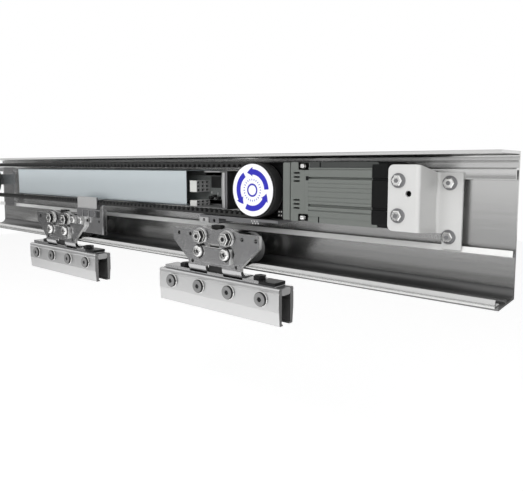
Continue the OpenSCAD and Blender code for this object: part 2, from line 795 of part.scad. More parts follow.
module plate_shape() {
    wing_top = plate_top - wing_drop;
    nut_x = wheel_gap / 2;
    step = wing_drop - bolt_r / 4;
    polygon([[-wing_x, wing_top - wing_h], [-wing_x, wing_top],
        [-nut_x - bump_r - step / 2, wing_top], [-nut_x - bump_r * 0.5, nut_z + bump_r * 0.86],
        [-nut_x + bump_r * 0.5, nut_z + bump_r * 0.86], [0, plate_top - notch_drop],
        [nut_x - bump_r * 0.5, nut_z + bump_r * 0.86],
        [nut_x + bump_r * 0.5, nut_z + bump_r * 0.6], [nut_x + bump_r, wing_top + step / 2],
        [nut_x + bump_r + step, wing_top], [wing_x, wing_top],
        [wing_x, wing_top - wing_h], [foot_x, wing_top - wing_h - wing_slope_h],
        [foot_x, foot_low + bend_r], [foot_gap_x, foot_low + bend_r],
        [foot_gap_x, foot_low + bend_r * 2.2], [-foot_gap_x, foot_low + bend_r * 2.2],
        [-foot_gap_x, foot_low + bend_r], [-foot_x, foot_low + bend_r],
        [-foot_x, wing_top - wing_h - wing_slope_h]]);
    for (s = [-1, 1]) translate([s * nut_x, nut_z]) circle(r = bump_r);
}

module foot_shape() {
    difference() {
        union() {
            translate([-plate_front + bend_r, foot_low + bend_r]) circle(r = bend_r);
            translate([-plate_front + bend_r, foot_low]) square([foot_d, foot_t]);
        }
        translate([-plate_front + bend_r, foot_low + bend_r]) circle(r = bend_r - foot_t);
        translate([-plate_front + bend_r, foot_low + foot_t])
            square([bend_r * 2, bend_r * 2]);
        translate([-plate_front, foot_low + bend_r]) square([bend_r * 2, bend_r * 2]);
    }
}

module hanger_plate(x) {
    wing_z = nut_z + bolt_r / 4;
    win_z = (nut_z + head_z) / 2 + bolt_r / 4;
    nut_x = wheel_gap / 2;
    translate([x, 0, 0]) {
        difference() {
            slab(plate_back, plate_front) plate_shape();
            for (s = [-1, 1]) {
                rod(s * nut_x, nut_z, 0, plate_front + bolt_r, bolt_r + bolt_gap);
                rod(s * nut_x, head_z, 0, plate_front + bolt_r, bolt_r + bolt_gap);
                rod(s * foot_x * 0.83, foot_low + bend_r * 2.7, 0, plate_front + bolt_r,
                    small_hole_r);
            }
            for (k = wing_hole_share)
                rod(k * wing_x, wing_z, 0, plate_front + bolt_r, small_hole_r);
            block(-window_x, window_x, 0, plate_front + bolt_r, win_z - window_h, win_z);
        }
        slab(plate_back - bolt_r, plate_back)
            translate([-window_x, win_z]) square([window_x * 2, window_h / 3]);
        for (s = [-1, 1])
            translate([s > 0 ? foot_gap_x : -foot_x, 0, 0]) rotate([90, 0, 90])
            linear_extrude(height = foot_x - foot_gap_x) foot_shape();
    }
}

module strap(x) {
    z1 = head_z + strap_h / 3;
    color("silver") translate([x, 0, 0]) difference() {
        block(-strap_x, strap_x, plate_front, strap_front, z1 - strap_h, z1);
        for (s = [-1, 1]) {
            rod(s * wheel_gap / 2, head_z, 0, strap_front + bolt_r, bolt_r + bolt_gap);
            rod(s * wheel_gap / 2, head_z - strap_h * 0.45, 0, strap_front + bolt_r,
                small_hole_r);
        }
    }
}

module axles(x) {
    back = bead_y - wheel_w / 2 - hub_step - keep_gap;
    color("silver") for (s = [-1, 1]) {
        px = x + s * wheel_gap / 2;
        difference() {
            rod(px, head_z, strap_front, strap_front + head_h, head_r);
            hex_rod(px, head_z, strap_front + head_h / 2, strap_front + head_h * 2,
                head_r * 0.45);
        }
        rod(px, head_z, plate_back - bolt_r, strap_front, bolt_r);
        rod(px, wheel_z, back, plate_back - bolt_r, journal_r);
        rod(px, wheel_z, back - keep_t, back, keep_r);
        rod(px, (wheel_z + head_z) / 2, plate_back - bolt_r * 1.5, plate_back, keep_r);
    }
}

module nuts(x) {
    color("silver") for (s = [-1, 1]) {
        px = x + s * wheel_gap / 2;
        rod(px, nut_z, plate_front, plate_front + washer_t, washer_r);
        hex_rod(px, nut_z, plate_front + washer_t, plate_front + washer_t + nut_h, nut_r);
        rod(px, nut_z, plate_front + washer_t + nut_h,
            plate_front + washer_t + nut_h * 1.3, bolt_r);
        rod(px, nut_z, plate_back, plate_front, bolt_r);
    }
}

module lift_block(x) {
    d0 = bead_y + wheel_w / 2 + hub_step + block_gap;
    nut_x = wheel_gap / 2;
    z1 = nut_z + block_h / 3;
    z0 = z1 - block_h * 0.7;
    finger_z = nose_low - lift_gap - finger_t;
    color("black") translate([x, 0, 0]) difference() {
        union() {
            block(-block_x, block_x, d0, plate_back - bolt_r, z0, z1);
            block(-finger_x, finger_x, d0, plate_back - bolt_r, min(z0, finger_z),
                max(z1, finger_z + finger_t));
            for (s = [-1, 1])
                rod(s * nut_x, nut_z, plate_back - bolt_r, plate_back, bump_r / 2);
            block(-finger_x, finger_x, back_t + lip_t, d0, finger_z, finger_z + finger_t);
        }
        for (s = [-1, 1])
            rod(s * nut_x, nut_z, plate_back - bolt_r * 2, plate_back, bolt_r / 2);
    }
}

module bar(x) {
    color("silver") translate([x, 0, 0]) difference() {
        block(-bar_x, bar_x, clamp_y - bar_w / 2, clamp_y + bar_w / 2, bar_low, bar_top);
        for (s = [-1, 1]) {
            translate([s * bar_bolt_x, -clamp_y, foot_low - bar_t * 2])
                cylinder(h = bar_t * 3, r = bolt_r + bolt_gap);
            block(s > 0 ? foot_gap_x - bolt_gap : -foot_x - bolt_gap,
                s > 0 ? foot_x + bolt_gap : bolt_gap - foot_gap_x,
                clamp_y - bar_w, clamp_y + bar_w, foot_low, bar_top + bar_t);
        }
    }
}

module black_bolts(x) {
    color("black") for (s = [-1, 1]) translate([x + s * bar_bolt_x, -clamp_y, bar_top]) {
        cylinder(h = black_h, r = black_r, $fn = 6);
        translate([0, 0, -bar_t - neck_h - spacer_h / 2])
            cylinder(h = bar_t + neck_h + spacer_h / 2, r = bolt_r);
    }
}

module jaw_shape() {
    half = clamp_w / 2;
    inner = half - jaw_t;
    polygon([[-half, clamp_top - jaw_taper], [-half + jaw_taper, clamp_top],
        [-inner, clamp_top], [-inner, clamp_low + taper_h],
        [-inner, clamp_low + jaw_taper], [-slot_w / 2 + liner_t, clamp_low + jaw_taper],
        [-slot_w / 2 + liner_t, clamp_low], [-half + jaw_taper, clamp_low],
        [-half, clamp_low + taper_h]]);
}

module jaw(x, side) {
    translate([x - clamp_len / 2, -clamp_y, 0]) rotate([90, 0, 90])
    linear_extrude(height = clamp_len) mirror([side, 0]) jaw_shape();
}

module jaw_front(x) {
    color("silver") difference() {
        jaw(x, 0);
        for (k = jaw_share) rod(x + k * clamp_pitch, clamp_top - clamp_bolt_drop,
            clamp_y, clamp_front + bolt_r, bolt_r + bolt_gap);
    }
}

module jaw_back(x) {
    color("silver") difference() {
        jaw(x, 1);
        for (k = jaw_share) rod(x + k * clamp_pitch, clamp_top - clamp_bolt_drop,
            clamp_back + jaw_t / 2, clamp_y, bolt_r);
    }
}

module spacer(x) {
    half = clamp_w / 2 - jaw_t;
    color("gray") difference() {
        union() {
            block(x - clamp_len / 2, x + clamp_len / 2, clamp_y - half, clamp_y + half,
                clamp_top - spacer_h, clamp_top);
            block(x - bar_x, x + bar_x, clamp_y - bar_w / 2.2, clamp_y + bar_w / 2.2,
                clamp_top, bar_low);
        }
        for (s = [-1, 1])
            translate([x + s * bar_bolt_x, -clamp_y, clamp_top - spacer_h / 2])
            cylinder(h = neck_h + spacer_h, r = bolt_r);
    }
}

module liners(x) {
    half = clamp_w / 2 - jaw_t;
    z0 = clamp_low + jaw_taper;
    color("black") difference() {
        for (s = [-1, 1]) {
            d = clamp_y + s * (half - liner_t / 2);
            block(x - clamp_len / 2 + liner_t, x + clamp_len / 2 - liner_t, d - liner_t / 2,
                d + liner_t / 2, z0, z0 + liner_h);
        }
        for (k = jaw_share) rod(x + k * clamp_pitch, clamp_top - clamp_bolt_drop,
            clamp_back, clamp_front, bolt_r + liner_t);
    }
}

module clamp_bolts(x) {
    color("silver") for (k = jaw_share) {
        px = x + k * clamp_pitch;
        z = clamp_top - clamp_bolt_drop;
        rod(px, z, clamp_back + jaw_t / 2, clamp_front, bolt_r);
        difference() {
            rod(px, z, clamp_front, clamp_front + clamp_head_h, clamp_head_r);
            hex_rod(px, z, clamp_front + clamp_head_h / 2, clamp_front + clamp_head_h * 2,
                clamp_head_r * 0.45);
        }
    }
}

module wheel(x) {
    w = wheel_w / 2;
    color("black") translate([x, -bead_y, wheel_z]) rotate([90, 0, 0])
    rotate_extrude() polygon([[journal_r + run_fit, -w - hub_step], [hub_r, -w - hub_step],
        [hub_r, -w], [wheel_r, -w], [wheel_r, -groove_top_w / 2], [tread_r, -groove_w / 2],
        [tread_r, groove_w / 2], [wheel_r, groove_top_w / 2], [wheel_r, w], [hub_r, w],
        [hub_r, w + hub_step], [journal_r + run_fit, w + hub_step]]);
}

module clip_plate() {
    d1 = plate_back;
    d0 = plate_back - clip_t;
    tab_x = clip_rise / 2;
    tab_top = clip_top + clip_rise * 0.62;
    color("silver") difference() {
        union() {
            block(clip_x0, clip_x1, d0, d1, clip_low, clip_top);
            block(clip_x1 - clip_t, clip_x1, d0 - clip_jaw_t, d1 + clip_jaw_t, clip_low,
                clip_top + clip_rise);
            block(clip_x1 - clip_len * 0.72, clip_x1, d0, d1, clip_top, tab_top);
        }
        for (k = [0.45, 0.82])
            rod(clip_x0 + clip_len * k, nut_z + bolt_r / 4, 0, plate_front, small_hole_r);
        for (k = clip_hole_share)
            rod(left_x + k * wing_x, nut_z + bolt_r / 4, 0, plate_front, small_hole_r);
        for (i = [0:2])
            block(clip_x1 - clip_len * 0.7 + i * tab_x * 1.6,
                clip_x1 - clip_len * 0.7 + i * tab_x * 1.6 + tab_x * 1.25, 0, plate_front,
                clip_top + clip_t, tab_top - clip_t);
    }
}

module clip_block() {
    x1 = clip_x1 - clip_t - conn_x * 1.8;
    x0 = x1 - clip_block_x;
    z1 = belt_low + belt_t + tooth_h + clip_gap;
    z0 = belt_low - clip_gap;
    color("gainsboro") union() {
        block(x0, x1, belt_back - clip_jaw_t, belt_front + clip_gap + clip_jaw_t,
            z0 - clip_jaw_t, z0);
        block(x0, x1, cover_y + keep_gap, belt_front + clip_gap + clip_jaw_t,
            z1, z1 + clip_jaw_t / 2);
        block(x0, x1, belt_front + clip_gap, belt_front + clip_gap + clip_jaw_t,
            z0 - clip_jaw_t * 2, z1 + clip_jaw_t * 1.8);
        block(x0, x1, belt_front - clip_jaw_t, belt_front + clip_gap + clip_jaw_t,
            clip_top + clip_t, z0 - clip_jaw_t);
        block(x0, x1, belt_front + clip_gap, plate_back - clip_t,
            clip_top + clip_t, z0 - clip_jaw_t * 2);
    }
}

module clip_screws() {
    color("silver") for (k = clip_hole_share) {
        rod(left_x + k * wing_x, nut_z + bolt_r / 4, plate_back - clip_t, plate_front,
            small_hole_r - bolt_gap);
        rod(left_x + k * wing_x, nut_z + bolt_r / 4, plate_front, plate_front + collar_t,
            collar_r);
        hex_rod(left_x + k * wing_x, nut_z + bolt_r / 4, plate_front + collar_t,
            plate_front + collar_t + hex_h, hex_r);
    }
}

beam();
drive_base();
gearbox();
motor_flange();
vent_cap();
motor_housing();
motor_end_cap();
motor_screws();
motor_bracket();
bracket_bolts();
slot_nuts();
belt();
chassis();
cover();
circuit_board();
connectors();
chassis_screws();
idler_bracket();
idler_axle();
tension_screw();
drive_pulley();
pulley_label();
drive_shaft();
idler_pulley();
color("silver") hanger_plate(left_x);  // left_plate
strap(left_x);  // left_strap
axles(left_x);  // left_axles
nuts(left_x);  // left_nuts
lift_block(left_x);  // left_block
bar(left_x);  // left_bar
black_bolts(left_x);  // left_black_bolts
jaw_front(left_x);  // left_jaw_front
jaw_back(left_x);  // left_jaw_back
spacer(left_x);  // left_spacer
liners(left_x);  // left_liners
clamp_bolts(left_x);  // left_clamp_bolts
wheel(left_x - wheel_gap / 2);  // left_wheel_a
wheel(left_x + wheel_gap / 2);  // left_wheel_b
clip_plate();
clip_block();
clip_screws();
color("silver") hanger_plate(right_x);  // right_plate
strap(right_x);  // right_strap
axles(right_x);  // right_axles
nuts(right_x);  // right_nuts
lift_block(right_x);  // right_block
bar(right_x);  // right_bar
black_bolts(right_x);  // right_black_bolts
jaw_front(right_x);  // right_jaw_front
jaw_back(right_x);  // right_jaw_back
spacer(right_x);  // right_spacer
liners(right_x);  // right_liners
clamp_bolts(right_x);  // right_clamp_bolts
wheel(right_x - wheel_gap / 2);  // right_wheel_a
wheel(right_x + wheel_gap / 2);  // right_wheel_b
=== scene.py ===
"""Looks of a sliding door operator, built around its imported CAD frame.

Places and sizes in the classes are in millimetres: along the beam, off the wall, and up.
They turn into metres when a mesh is written.
"""

import logging
import math
from dataclasses import dataclass
from enum import Enum
from typing import Callable, List, Sequence, Tuple

import bmesh
import bpy
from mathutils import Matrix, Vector


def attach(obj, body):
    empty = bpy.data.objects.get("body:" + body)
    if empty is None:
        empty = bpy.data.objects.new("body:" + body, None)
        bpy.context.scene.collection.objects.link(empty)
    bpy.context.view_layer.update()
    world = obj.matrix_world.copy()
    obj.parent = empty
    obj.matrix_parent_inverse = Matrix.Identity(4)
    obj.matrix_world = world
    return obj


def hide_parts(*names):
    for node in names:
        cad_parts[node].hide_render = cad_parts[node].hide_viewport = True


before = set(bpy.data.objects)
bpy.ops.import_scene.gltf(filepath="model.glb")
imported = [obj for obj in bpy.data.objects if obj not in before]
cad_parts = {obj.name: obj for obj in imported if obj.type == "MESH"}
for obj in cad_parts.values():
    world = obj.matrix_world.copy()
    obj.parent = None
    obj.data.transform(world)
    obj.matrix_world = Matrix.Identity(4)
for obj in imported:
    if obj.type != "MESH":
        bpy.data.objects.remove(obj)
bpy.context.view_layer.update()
LOG = logging.getLogger("scene")
MM = 0.001
Point = Tuple[float, float]
Colour = Tuple[float, float, float]


class Run(Enum):
    """The direction in which a flat outline is drawn out."""

    ALONG = "along the beam, outline in depth and height"
    DEPTH = "off the wall, outline in length and height"
    UP = "upwards, outline in length and depth"

    def place(self, first: float, second: float, out: float) -> Vector:
        """Gives the point of an outline in metres.

        Args:
            first: First number of the outline point, in millimetres.
            second: Second number of the outline point, in millimetres.
            out: Distance in the direction of the run, in millimetres.

        Returns:
            The point in the row frame.
        """
        if self is Run.ALONG:
            return Vector((out, -first, second)) * MM
        if self is Run.DEPTH:
            return Vector((first, -out, second)) * MM
        return Vector((first, -second, out)) * MM


def arc(cx: float, cy: float, r: float, start: float, end: float, steps: int = 8) -> List[Point]:
    """Gives points on an arc.

    Args:
        cx: First number of the centre.
        cy: Second number of the centre.
        r: Radius.
        start: First angle in degrees.
        end: Last angle in degrees.
        steps: Number of chords.

    Returns:
        The points, both ends included.
    """
    angles = [math.radians(start + (end - start) * i / steps) for i in range(steps + 1)]
    return [(cx + r * math.cos(a), cy + r * math.sin(a)) for a in angles]


def ring(cx: float, cy: float, r: float, steps: int = 40) -> List[Point]:
    """Gives a closed circle, or a polygon where steps is small.

    Args:
        cx: First number of the centre.
        cy: Second number of the centre.
        r: Radius over the corners.
        steps: Number of corners.

    Returns:
        The points of the outline.
    """
    return arc(cx, cy, r, 0, 360, steps)[:-1]


def rect(a0: float, a1: float, b0: float, b1: float) -> List[Point]:
    """Gives a rectangle from its limits.

    Args:
        a0: Lowest first number.
        a1: Highest first number.
        b0: Lowest second number.
        b1: Highest second number.

    Returns:
        The four corners.
    """
    return [(a0, b0), (a1, b0), (a1, b1), (a0, b1)]


def soften(outline: Sequence[Point], radius: float, steps: int = 4) -> List[Point]:
    """Rounds the corners of an outline.

    Args:
        outline: The corners.
        radius: Length taken off each side of a corner.
        steps: Number of chords in each rounded corner.

    Returns:
        The points of the rounded outline.
    """
    made: List[Point] = []
    count = len(outline)
    for i, corner in enumerate(outline):
        p = Vector(corner)
        before = Vector(outline[i - 1]) - p
        after = Vector(outline[(i + 1) % count]) - p
        cut = min(radius, before.length * 0.45, after.length * 0.45)
        first = p + before.normalized() * cut
        last = p + after.normalized() * cut
        for k in range(steps + 1):
            s = k / steps
            spot = first * (1 - s) ** 2 + p * 2 * s * (1 - s) + last * s * s
            made.append((spot.x, spot.y))
    return made


class Shape:
    """A mesh under construction."""

    def __init__(self, name: str) -> None:
        """Starts an empty mesh.

        Args:
            name: Name of the piece.
        """
        self.name = name
        self.bm = bmesh.new()
        self.paint = 0

    def _mark(self, before: int) -> None:
        """Gives the faces made since a count the current finish."""
        self.bm.faces.ensure_lookup_table()
        for face in self.bm.faces[before:]:
            face.material_index = self.paint

    def prism(
        self,
        outline: Sequence[Point],
        run: Run,
        low: float,
        high: float,
        holes: Sequence[Sequence[Point]] = (),
    ) -> "Shape":
        """Draws a flat outline out into a solid.

        Args:
            outline: Corners of the outline.
            run: Direction of the solid.
            low: Where it starts.
            high: Where it ends.
            holes: Outlines that stay open.

        Returns:
            This shape.
        """
        before = len(self.bm.faces)
        edges = []
        verts = []
        for loop in [outline, *holes]:
            verts = [self.bm.verts.new(run.place(a, b, low)) for a, b in loop]
            edges += [self.bm.edges.new((p, q)) for p, q in zip(verts, verts[1:] + verts[:1])]
        if holes:
            filled = bmesh.ops.triangle_fill(self.bm, use_beauty=True, use_dissolve=False, edges=edges)
            faces = [g for g in filled["geom"] if isinstance(g, bmesh.types.BMFace)]
        else:
            faces = [self.bm.faces.new(verts)]
        grown = bmesh.ops.extrude_face_region(self.bm, geom=faces)
        moved = [g for g in grown["geom"] if isinstance(g, bmesh.types.BMVert)]
        step = run.place(0, 0, high) - run.place(0, 0, low)
        bmesh.ops.translate(self.bm, vec=step, verts=moved)
        self._mark(before)
        return self

    def block(self, x0: float, x1: float, d0: float, d1: float, z0: float, z1: float) -> "Shape":
        """Makes a box from its limits along the beam, off the wall and up."""
        return self.prism(rect(x0, x1, z0, z1), Run.DEPTH, d0, d1)

    def lathe(
        self, profile: Sequence[Point], x: float, d: float, z: float, run: Run, steps: int = 40
    ) -> "Shape":
        """Turns a profile about an axis.

        Args:
            profile: Radius and distance along the axis, from one end to the other.
            x: Place of the axis foot along the beam.
            d: Place of the axis foot off the wall.
            z: Height of the axis foot.
            run: Direction of the axis.
            steps: Number of steps round the axis.

        Returns:
            This shape.
        """
        before = len(self.bm.faces)
        foot = Vector((x, -d, z)) * MM
        spots = {
            Run.ALONG: lambda r, h: Vector((h, 0, r)),
            Run.DEPTH: lambda r, h: Vector((r, -h, 0)),
            Run.UP: lambda r, h: Vector((r, 0, h)),
        }
        axes = {Run.ALONG: (1, 0, 0), Run.DEPTH: (0, -1, 0), Run.UP: (0, 0, 1)}
        verts = [self.bm.verts.new(foot + spots[run](r, h) * MM) for r, h in profile]
        edges = [self.bm.edges.new((p, q)) for p, q in zip(verts, verts[1:])]
        old = set(self.bm.verts) - set(verts)
        bmesh.ops.spin(
            self.bm, geom=verts + edges, cent=foot, axis=axes[run], dvec=(0, 0, 0),
            angle=math.tau, steps=steps, use_merge=True, use_duplicate=False,
        )
        fresh = [v for v in self.bm.verts if v not in old]
        bmesh.ops.remove_doubles(self.bm, verts=fresh, dist=1e-7)
        self._mark(before)
        return self

    def trim(self, point: Vector, away: Vector, start: int) -> "Shape":
        """Cuts off what lies beyond a plane and closes the cut.

        Args:
            point: A point of the plane in metres.
            away: Direction of the part that is cut off.
            start: First face that is cut.

        Returns:
            This shape.
        """
        self.bm.faces.ensure_lookup_table()
        faces = self.bm.faces[start:]
        near = list({part for face in faces for part in (face, *face.edges, *face.verts)})
        made = bmesh.ops.bisect_plane(
            self.bm, geom=near, plane_co=point, plane_no=away, clear_outer=True, dist=1e-7
        )
        rim = [g for g in made["geom_cut"] if isinstance(g, bmesh.types.BMEdge)]
        bmesh.ops.edgeloop_fill(self.bm, edges=rim, mat_nr=self.paint)
        return self

    def repaint(self, index: int, wanted: Callable[[Vector, Vector], bool], start: int = 0) -> "Shape":
        """Gives some faces another finish.

        Args:
            index: Number of the finish.
            wanted: Says by a face's middle, in millimetres, and by its direction whether it changes.
            start: First face that is looked at.

        Returns:
            This shape.
        """
        bmesh.ops.recalc_face_normals(self.bm, faces=self.bm.faces[:])
        self.bm.faces.ensure_lookup_table()
        for face in self.bm.faces[start:]:
            face.normal_update()
            if wanted(face.calc_center_median() / MM, face.normal):
                face.material_index = index
        return self

    def piece(
        self,
        body: str,
        finishes: Sequence["Finish"],
        replaces: Sequence[str] = (),
        edge: float = 0.3,
        rounds: int = 2,
    ) -> bpy.types.Object:
        """Turns the mesh into a piece of the scene.

        Args:
            body: CAD body that it rides on.
            finishes: Finishes in the order of their numbers.
            replaces: CAD nodes that it stands for.
            edge: Width of the broken edges.
            rounds: Segments of the broken edges.

        Returns:
            The object.
        """
        bmesh.ops.recalc_face_normals(self.bm, faces=self.bm.faces[:])
        mesh = bpy.data.meshes.new(self.name)
        self.bm.to_mesh(mesh)
        self.bm.free()
        made = bpy.data.objects.new(self.name, mesh)
        bpy.context.scene.collection.objects.link(made)
        for finish in finishes:
            mesh.materials.append(finish.material())
        mesh.shade_smooth()
        mesh.set_sharp_from_angle(angle=math.radians(32))
        if edge > 0:
            break_edges(made, edge, rounds)
        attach(made, body)
        if replaces:
            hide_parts(*replaces)
        LOG.info("%s: %d faces on %s", self.name, len(mesh.polygons), body)
        return made


def break_edges(thing: bpy.types.Object, width: float, rounds: int) -> None:
    """Adds small rounded edges to a piece.

    Args:
        thing: The piece.
        width: Width of the edge in millimetres.
        rounds: Number of segments.
    """
    edge = thing.modifiers.new("edges", "BEVEL")
    edge.width = width * MM
    edge.segments = rounds
    edge.limit_method = "ANGLE"
    edge.angle_limit = math.radians(32)
    edge.harden_normals = True


def dress(node: str, finish: "Finish", edge: float = 0.3) -> None:
    """Gives a CAD node that stays a better material and broken edges.

    Args:
        node: Name of the node.
        finish: Its finish.
        edge: Width of the edges in millimetres.
    """
    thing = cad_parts[node]
    thing.data.materials.clear()
    thing.data.materials.append(finish.material())
    weld = thing.modifiers.new("weld", "WELD")
    weld.merge_threshold = 1e-6
    break_edges(thing, edge, 2)
    LOG.info("%s keeps its CAD shape", node)


class Wiring:
    """A node tree being wired."""

    def __init__(self, tree: bpy.types.NodeTree) -> None:
        """Takes the tree.

        Args:
            tree: Tree of a material, a world or a group.
        """
        self.tree = tree

    def add(self, kind: str, **settings: object) -> bpy.types.Node:
        """Adds a node and sets its plain settings."""
        node = self.tree.nodes.new(kind)
        for key, value in settings.items():
            setattr(node, key, value)
        return node

    def link(self, out: bpy.types.NodeSocket, into: bpy.types.NodeSocket) -> None:
        """Joins two sockets."""
        self.tree.links.new(out, into)

    def feed(self, socket: bpy.types.NodeSocket, value: object) -> None:
        """Links a socket, or sets it where the value is plain."""
        if isinstance(value, bpy.types.NodeSocket):
            self.link(value, socket)
        else:
            socket.default_value = value

    def math(self, operation: str, *values: object, clamp: bool = False) -> bpy.types.NodeSocket:
        """Adds a Math node."""
        node = self.add("ShaderNodeMath", operation=operation, use_clamp=clamp)
        for socket, value in zip(node.inputs, values):
            self.feed(socket, value)
        return node.outputs[0]

    def blend(self, factor: object, first: object, second: object) -> bpy.types.NodeSocket:
        """Mixes two colours."""
        node = self.add("ShaderNodeMix", data_type="RGBA")
        self.feed(node.inputs[0], factor)
        self.feed(node.inputs[6], first)
        self.feed(node.inputs[7], second)
        return node.outputs[2]

    def noise(self, vector: object, scale: float, detail: float = 3.0) -> bpy.types.NodeSocket:
        """Adds a noise value."""
        node = self.add("ShaderNodeTexNoise")
        self.feed(node.inputs["Vector"], vector)
        node.inputs["Scale"].default_value = scale
        node.inputs["Detail"].default_value = detail
        return node.outputs[0]


class Effects:
    """The node groups that several finishes share."""

    made: dict = {}

    @classmethod
    def _group(cls, name: str, ins: Sequence[Tuple[str, str]], outs: Sequence[str]):
        """Starts a group with its sockets.

        Args:
            name: Name of the group.
            ins: Name and kind of each input.
            outs: Names of the outputs, all plain numbers.

        Returns:
            The group, its wiring, its input node and its output node.
        """
        tree = bpy.data.node_groups.new(name, "ShaderNodeTree")
        for label, kind in ins:
            tree.interface.new_socket(name=label, in_out="INPUT", socket_type=kind)
        for label in outs:
            tree.interface.new_socket(name=label, in_out="OUTPUT", socket_type="NodeSocketFloat")
        wiring = Wiring(tree)
        return tree, wiring, wiring.add("NodeGroupInput"), wiring.add("NodeGroupOutput")

    @classmethod
    def grain(cls) -> bpy.types.NodeTree:
        """Gives the group with fine grain and slow clouding.

        Returns:
            The group, with inputs Stretch and Fine and outputs Grain and Cloud.
        """
        if "grain" not in cls.made:
            ins = [("Stretch", "NodeSocketVector"), ("Fine", "NodeSocketFloat")]
            tree, w, inside, outside = cls._group("surface_grain", ins, ["Grain", "Cloud"])
            where = w.add("ShaderNodeTexCoord").outputs["Object"]
            scaled = w.add("ShaderNodeVectorMath", operation="MULTIPLY")
            w.link(where, scaled.inputs[0])
            w.link(inside.outputs["Stretch"], scaled.inputs[1])
            fine = w.add("ShaderNodeTexNoise")
            w.link(scaled.outputs[0], fine.inputs["Vector"])
            w.link(inside.outputs["Fine"], fine.inputs["Scale"])
            fine.inputs["Detail"].default_value = 4
            w.link(fine.outputs[0], outside.inputs["Grain"])
            w.link(w.noise(where, 28.0, 2.0), outside.inputs["Cloud"])
            cls.made["grain"] = tree
        return cls.made["grain"]

    @classmethod
    def polar(cls) -> bpy.types.NodeTree:
        """Gives the group that measures round the drive pulley's axis.

        Returns:
            The group, with outputs Radius, as a share of the disc, and Turn, from 0 to 1.
        """
        if "polar" not in cls.made:
            ins = [("Centre", "NodeSocketVector"), ("Size", "NodeSocketFloat")]
            tree, w, inside, outside = cls._group("round_the_axis", ins, ["Radius", "Turn"])
            where = w.add("ShaderNodeTexCoord").outputs["Object"]
            away = w.add("ShaderNodeVectorMath", operation="SUBTRACT")
            w.link(where, away.inputs[0])
            w.link(inside.outputs["Centre"], away.inputs[1])
            parts = w.add("ShaderNodeSeparateXYZ")
            w.link(away.outputs[0], parts.inputs[0])
            across = w.math("MULTIPLY", parts.outputs[0], parts.outputs[0])
            upward = w.math("MULTIPLY", parts.outputs[2], parts.outputs[2])
            reach = w.math("SQRT", w.math("ADD", across, upward))
            w.link(w.math("DIVIDE", reach, inside.outputs["Size"]), outside.inputs["Radius"])
            angle = w.math("ARCTAN2", parts.outputs[2], parts.outputs[0])
            turn = w.math("FRACT", w.math("ADD", w.math("DIVIDE", angle, math.tau), 1.0))
            w.link(turn, outside.inputs["Turn"])
            cls.made["polar"] = tree
        return cls.made["polar"]


@dataclass(frozen=True)
class Finish:
    """A surface finish that becomes one procedural material.

    Attributes:
        name: Name of the material.
        colour: Linear base colour.
        metallic: Share of metal.
        roughness: Middle roughness.
        tone: How far clouding and grain change the colour.
        fine: Scale of the grain.
        stretch: Stretch of the grain along the three axes.
        gloss_change: How far the grain changes the roughness.
        bump: Strength of the relief.
        depth: Height of the relief in metres.
        coat: Weight of a clear coat.
        shine: Specular level.
    """

    name: str
    colour: Colour
    metallic: float
    roughness: float
    tone: float = 0.05
    fine: float = 900.0
    stretch: Tuple[float, float, float] = (1.0, 1.0, 1.0)
    gloss_change: float = 0.05
    bump: float = 0.15
    depth: float = 0.0001
    coat: float = 0.0
    shine: float = 0.5

    def tint(self, w: Wiring, grain: bpy.types.Node) -> bpy.types.NodeSocket:
        """Wires the colour.

        Args:
            w: Wiring of the material.
            grain: The grain group's node.

        Returns:
            The colour socket.
        """
        dark = tuple(c * (1 - self.tone) for c in self.colour) + (1.0,)
        pale = tuple(min(1.0, c * (1 + self.tone)) for c in self.colour) + (1.0,)
        half = w.math("MULTIPLY", grain.outputs["Grain"], 0.5)
        share = w.math("MULTIPLY_ADD", grain.outputs["Cloud"], 0.5, half)
        return w.blend(share, dark, pale)

    def material(self) -> bpy.types.Material:
        """Gives the material, made once.

        Returns:
            The Blender material.
        """
        known = bpy.data.materials.get(self.name)
        if known:
            return known
        made = bpy.data.materials.new(self.name)
        made.use_nodes = True
        w = Wiring(made.node_tree)
        shader = made.node_tree.nodes["Principled BSDF"]
        shader.inputs["Metallic"].default_value = self.metallic
        shader.inputs["Specular IOR Level"].default_value = self.shine
        if self.coat > 0:
            shader.inputs["Coat Weight"].default_value = self.coat
            shader.inputs["Coat Roughness"].default_value = 0.08
        grain = w.add("ShaderNodeGroup", node_tree=Effects.grain())
        grain.inputs["Stretch"].default_value = self.stretch
        grain.inputs["Fine"].default_value = self.fine
        w.link(self.tint(w, grain), shader.inputs["Base Color"])
        change = w.math("SUBTRACT", grain.outputs["Grain"], 0.5)
        rough = w.math("MULTIPLY_ADD", change, self.gloss_change * 2, self.roughness)
        w.link(rough, shader.inputs["Roughness"])
        relief = w.add("ShaderNodeBump")
        relief.inputs["Strength"].default_value = self.bump
        relief.inputs["Distance"].default_value = self.depth
        w.link(grain.outputs["Grain"], relief.inputs["Height"])
        w.link(relief.outputs[0], shader.inputs["Normal"])
        made.diffuse_color = (*self.colour, 1.0)
        return made


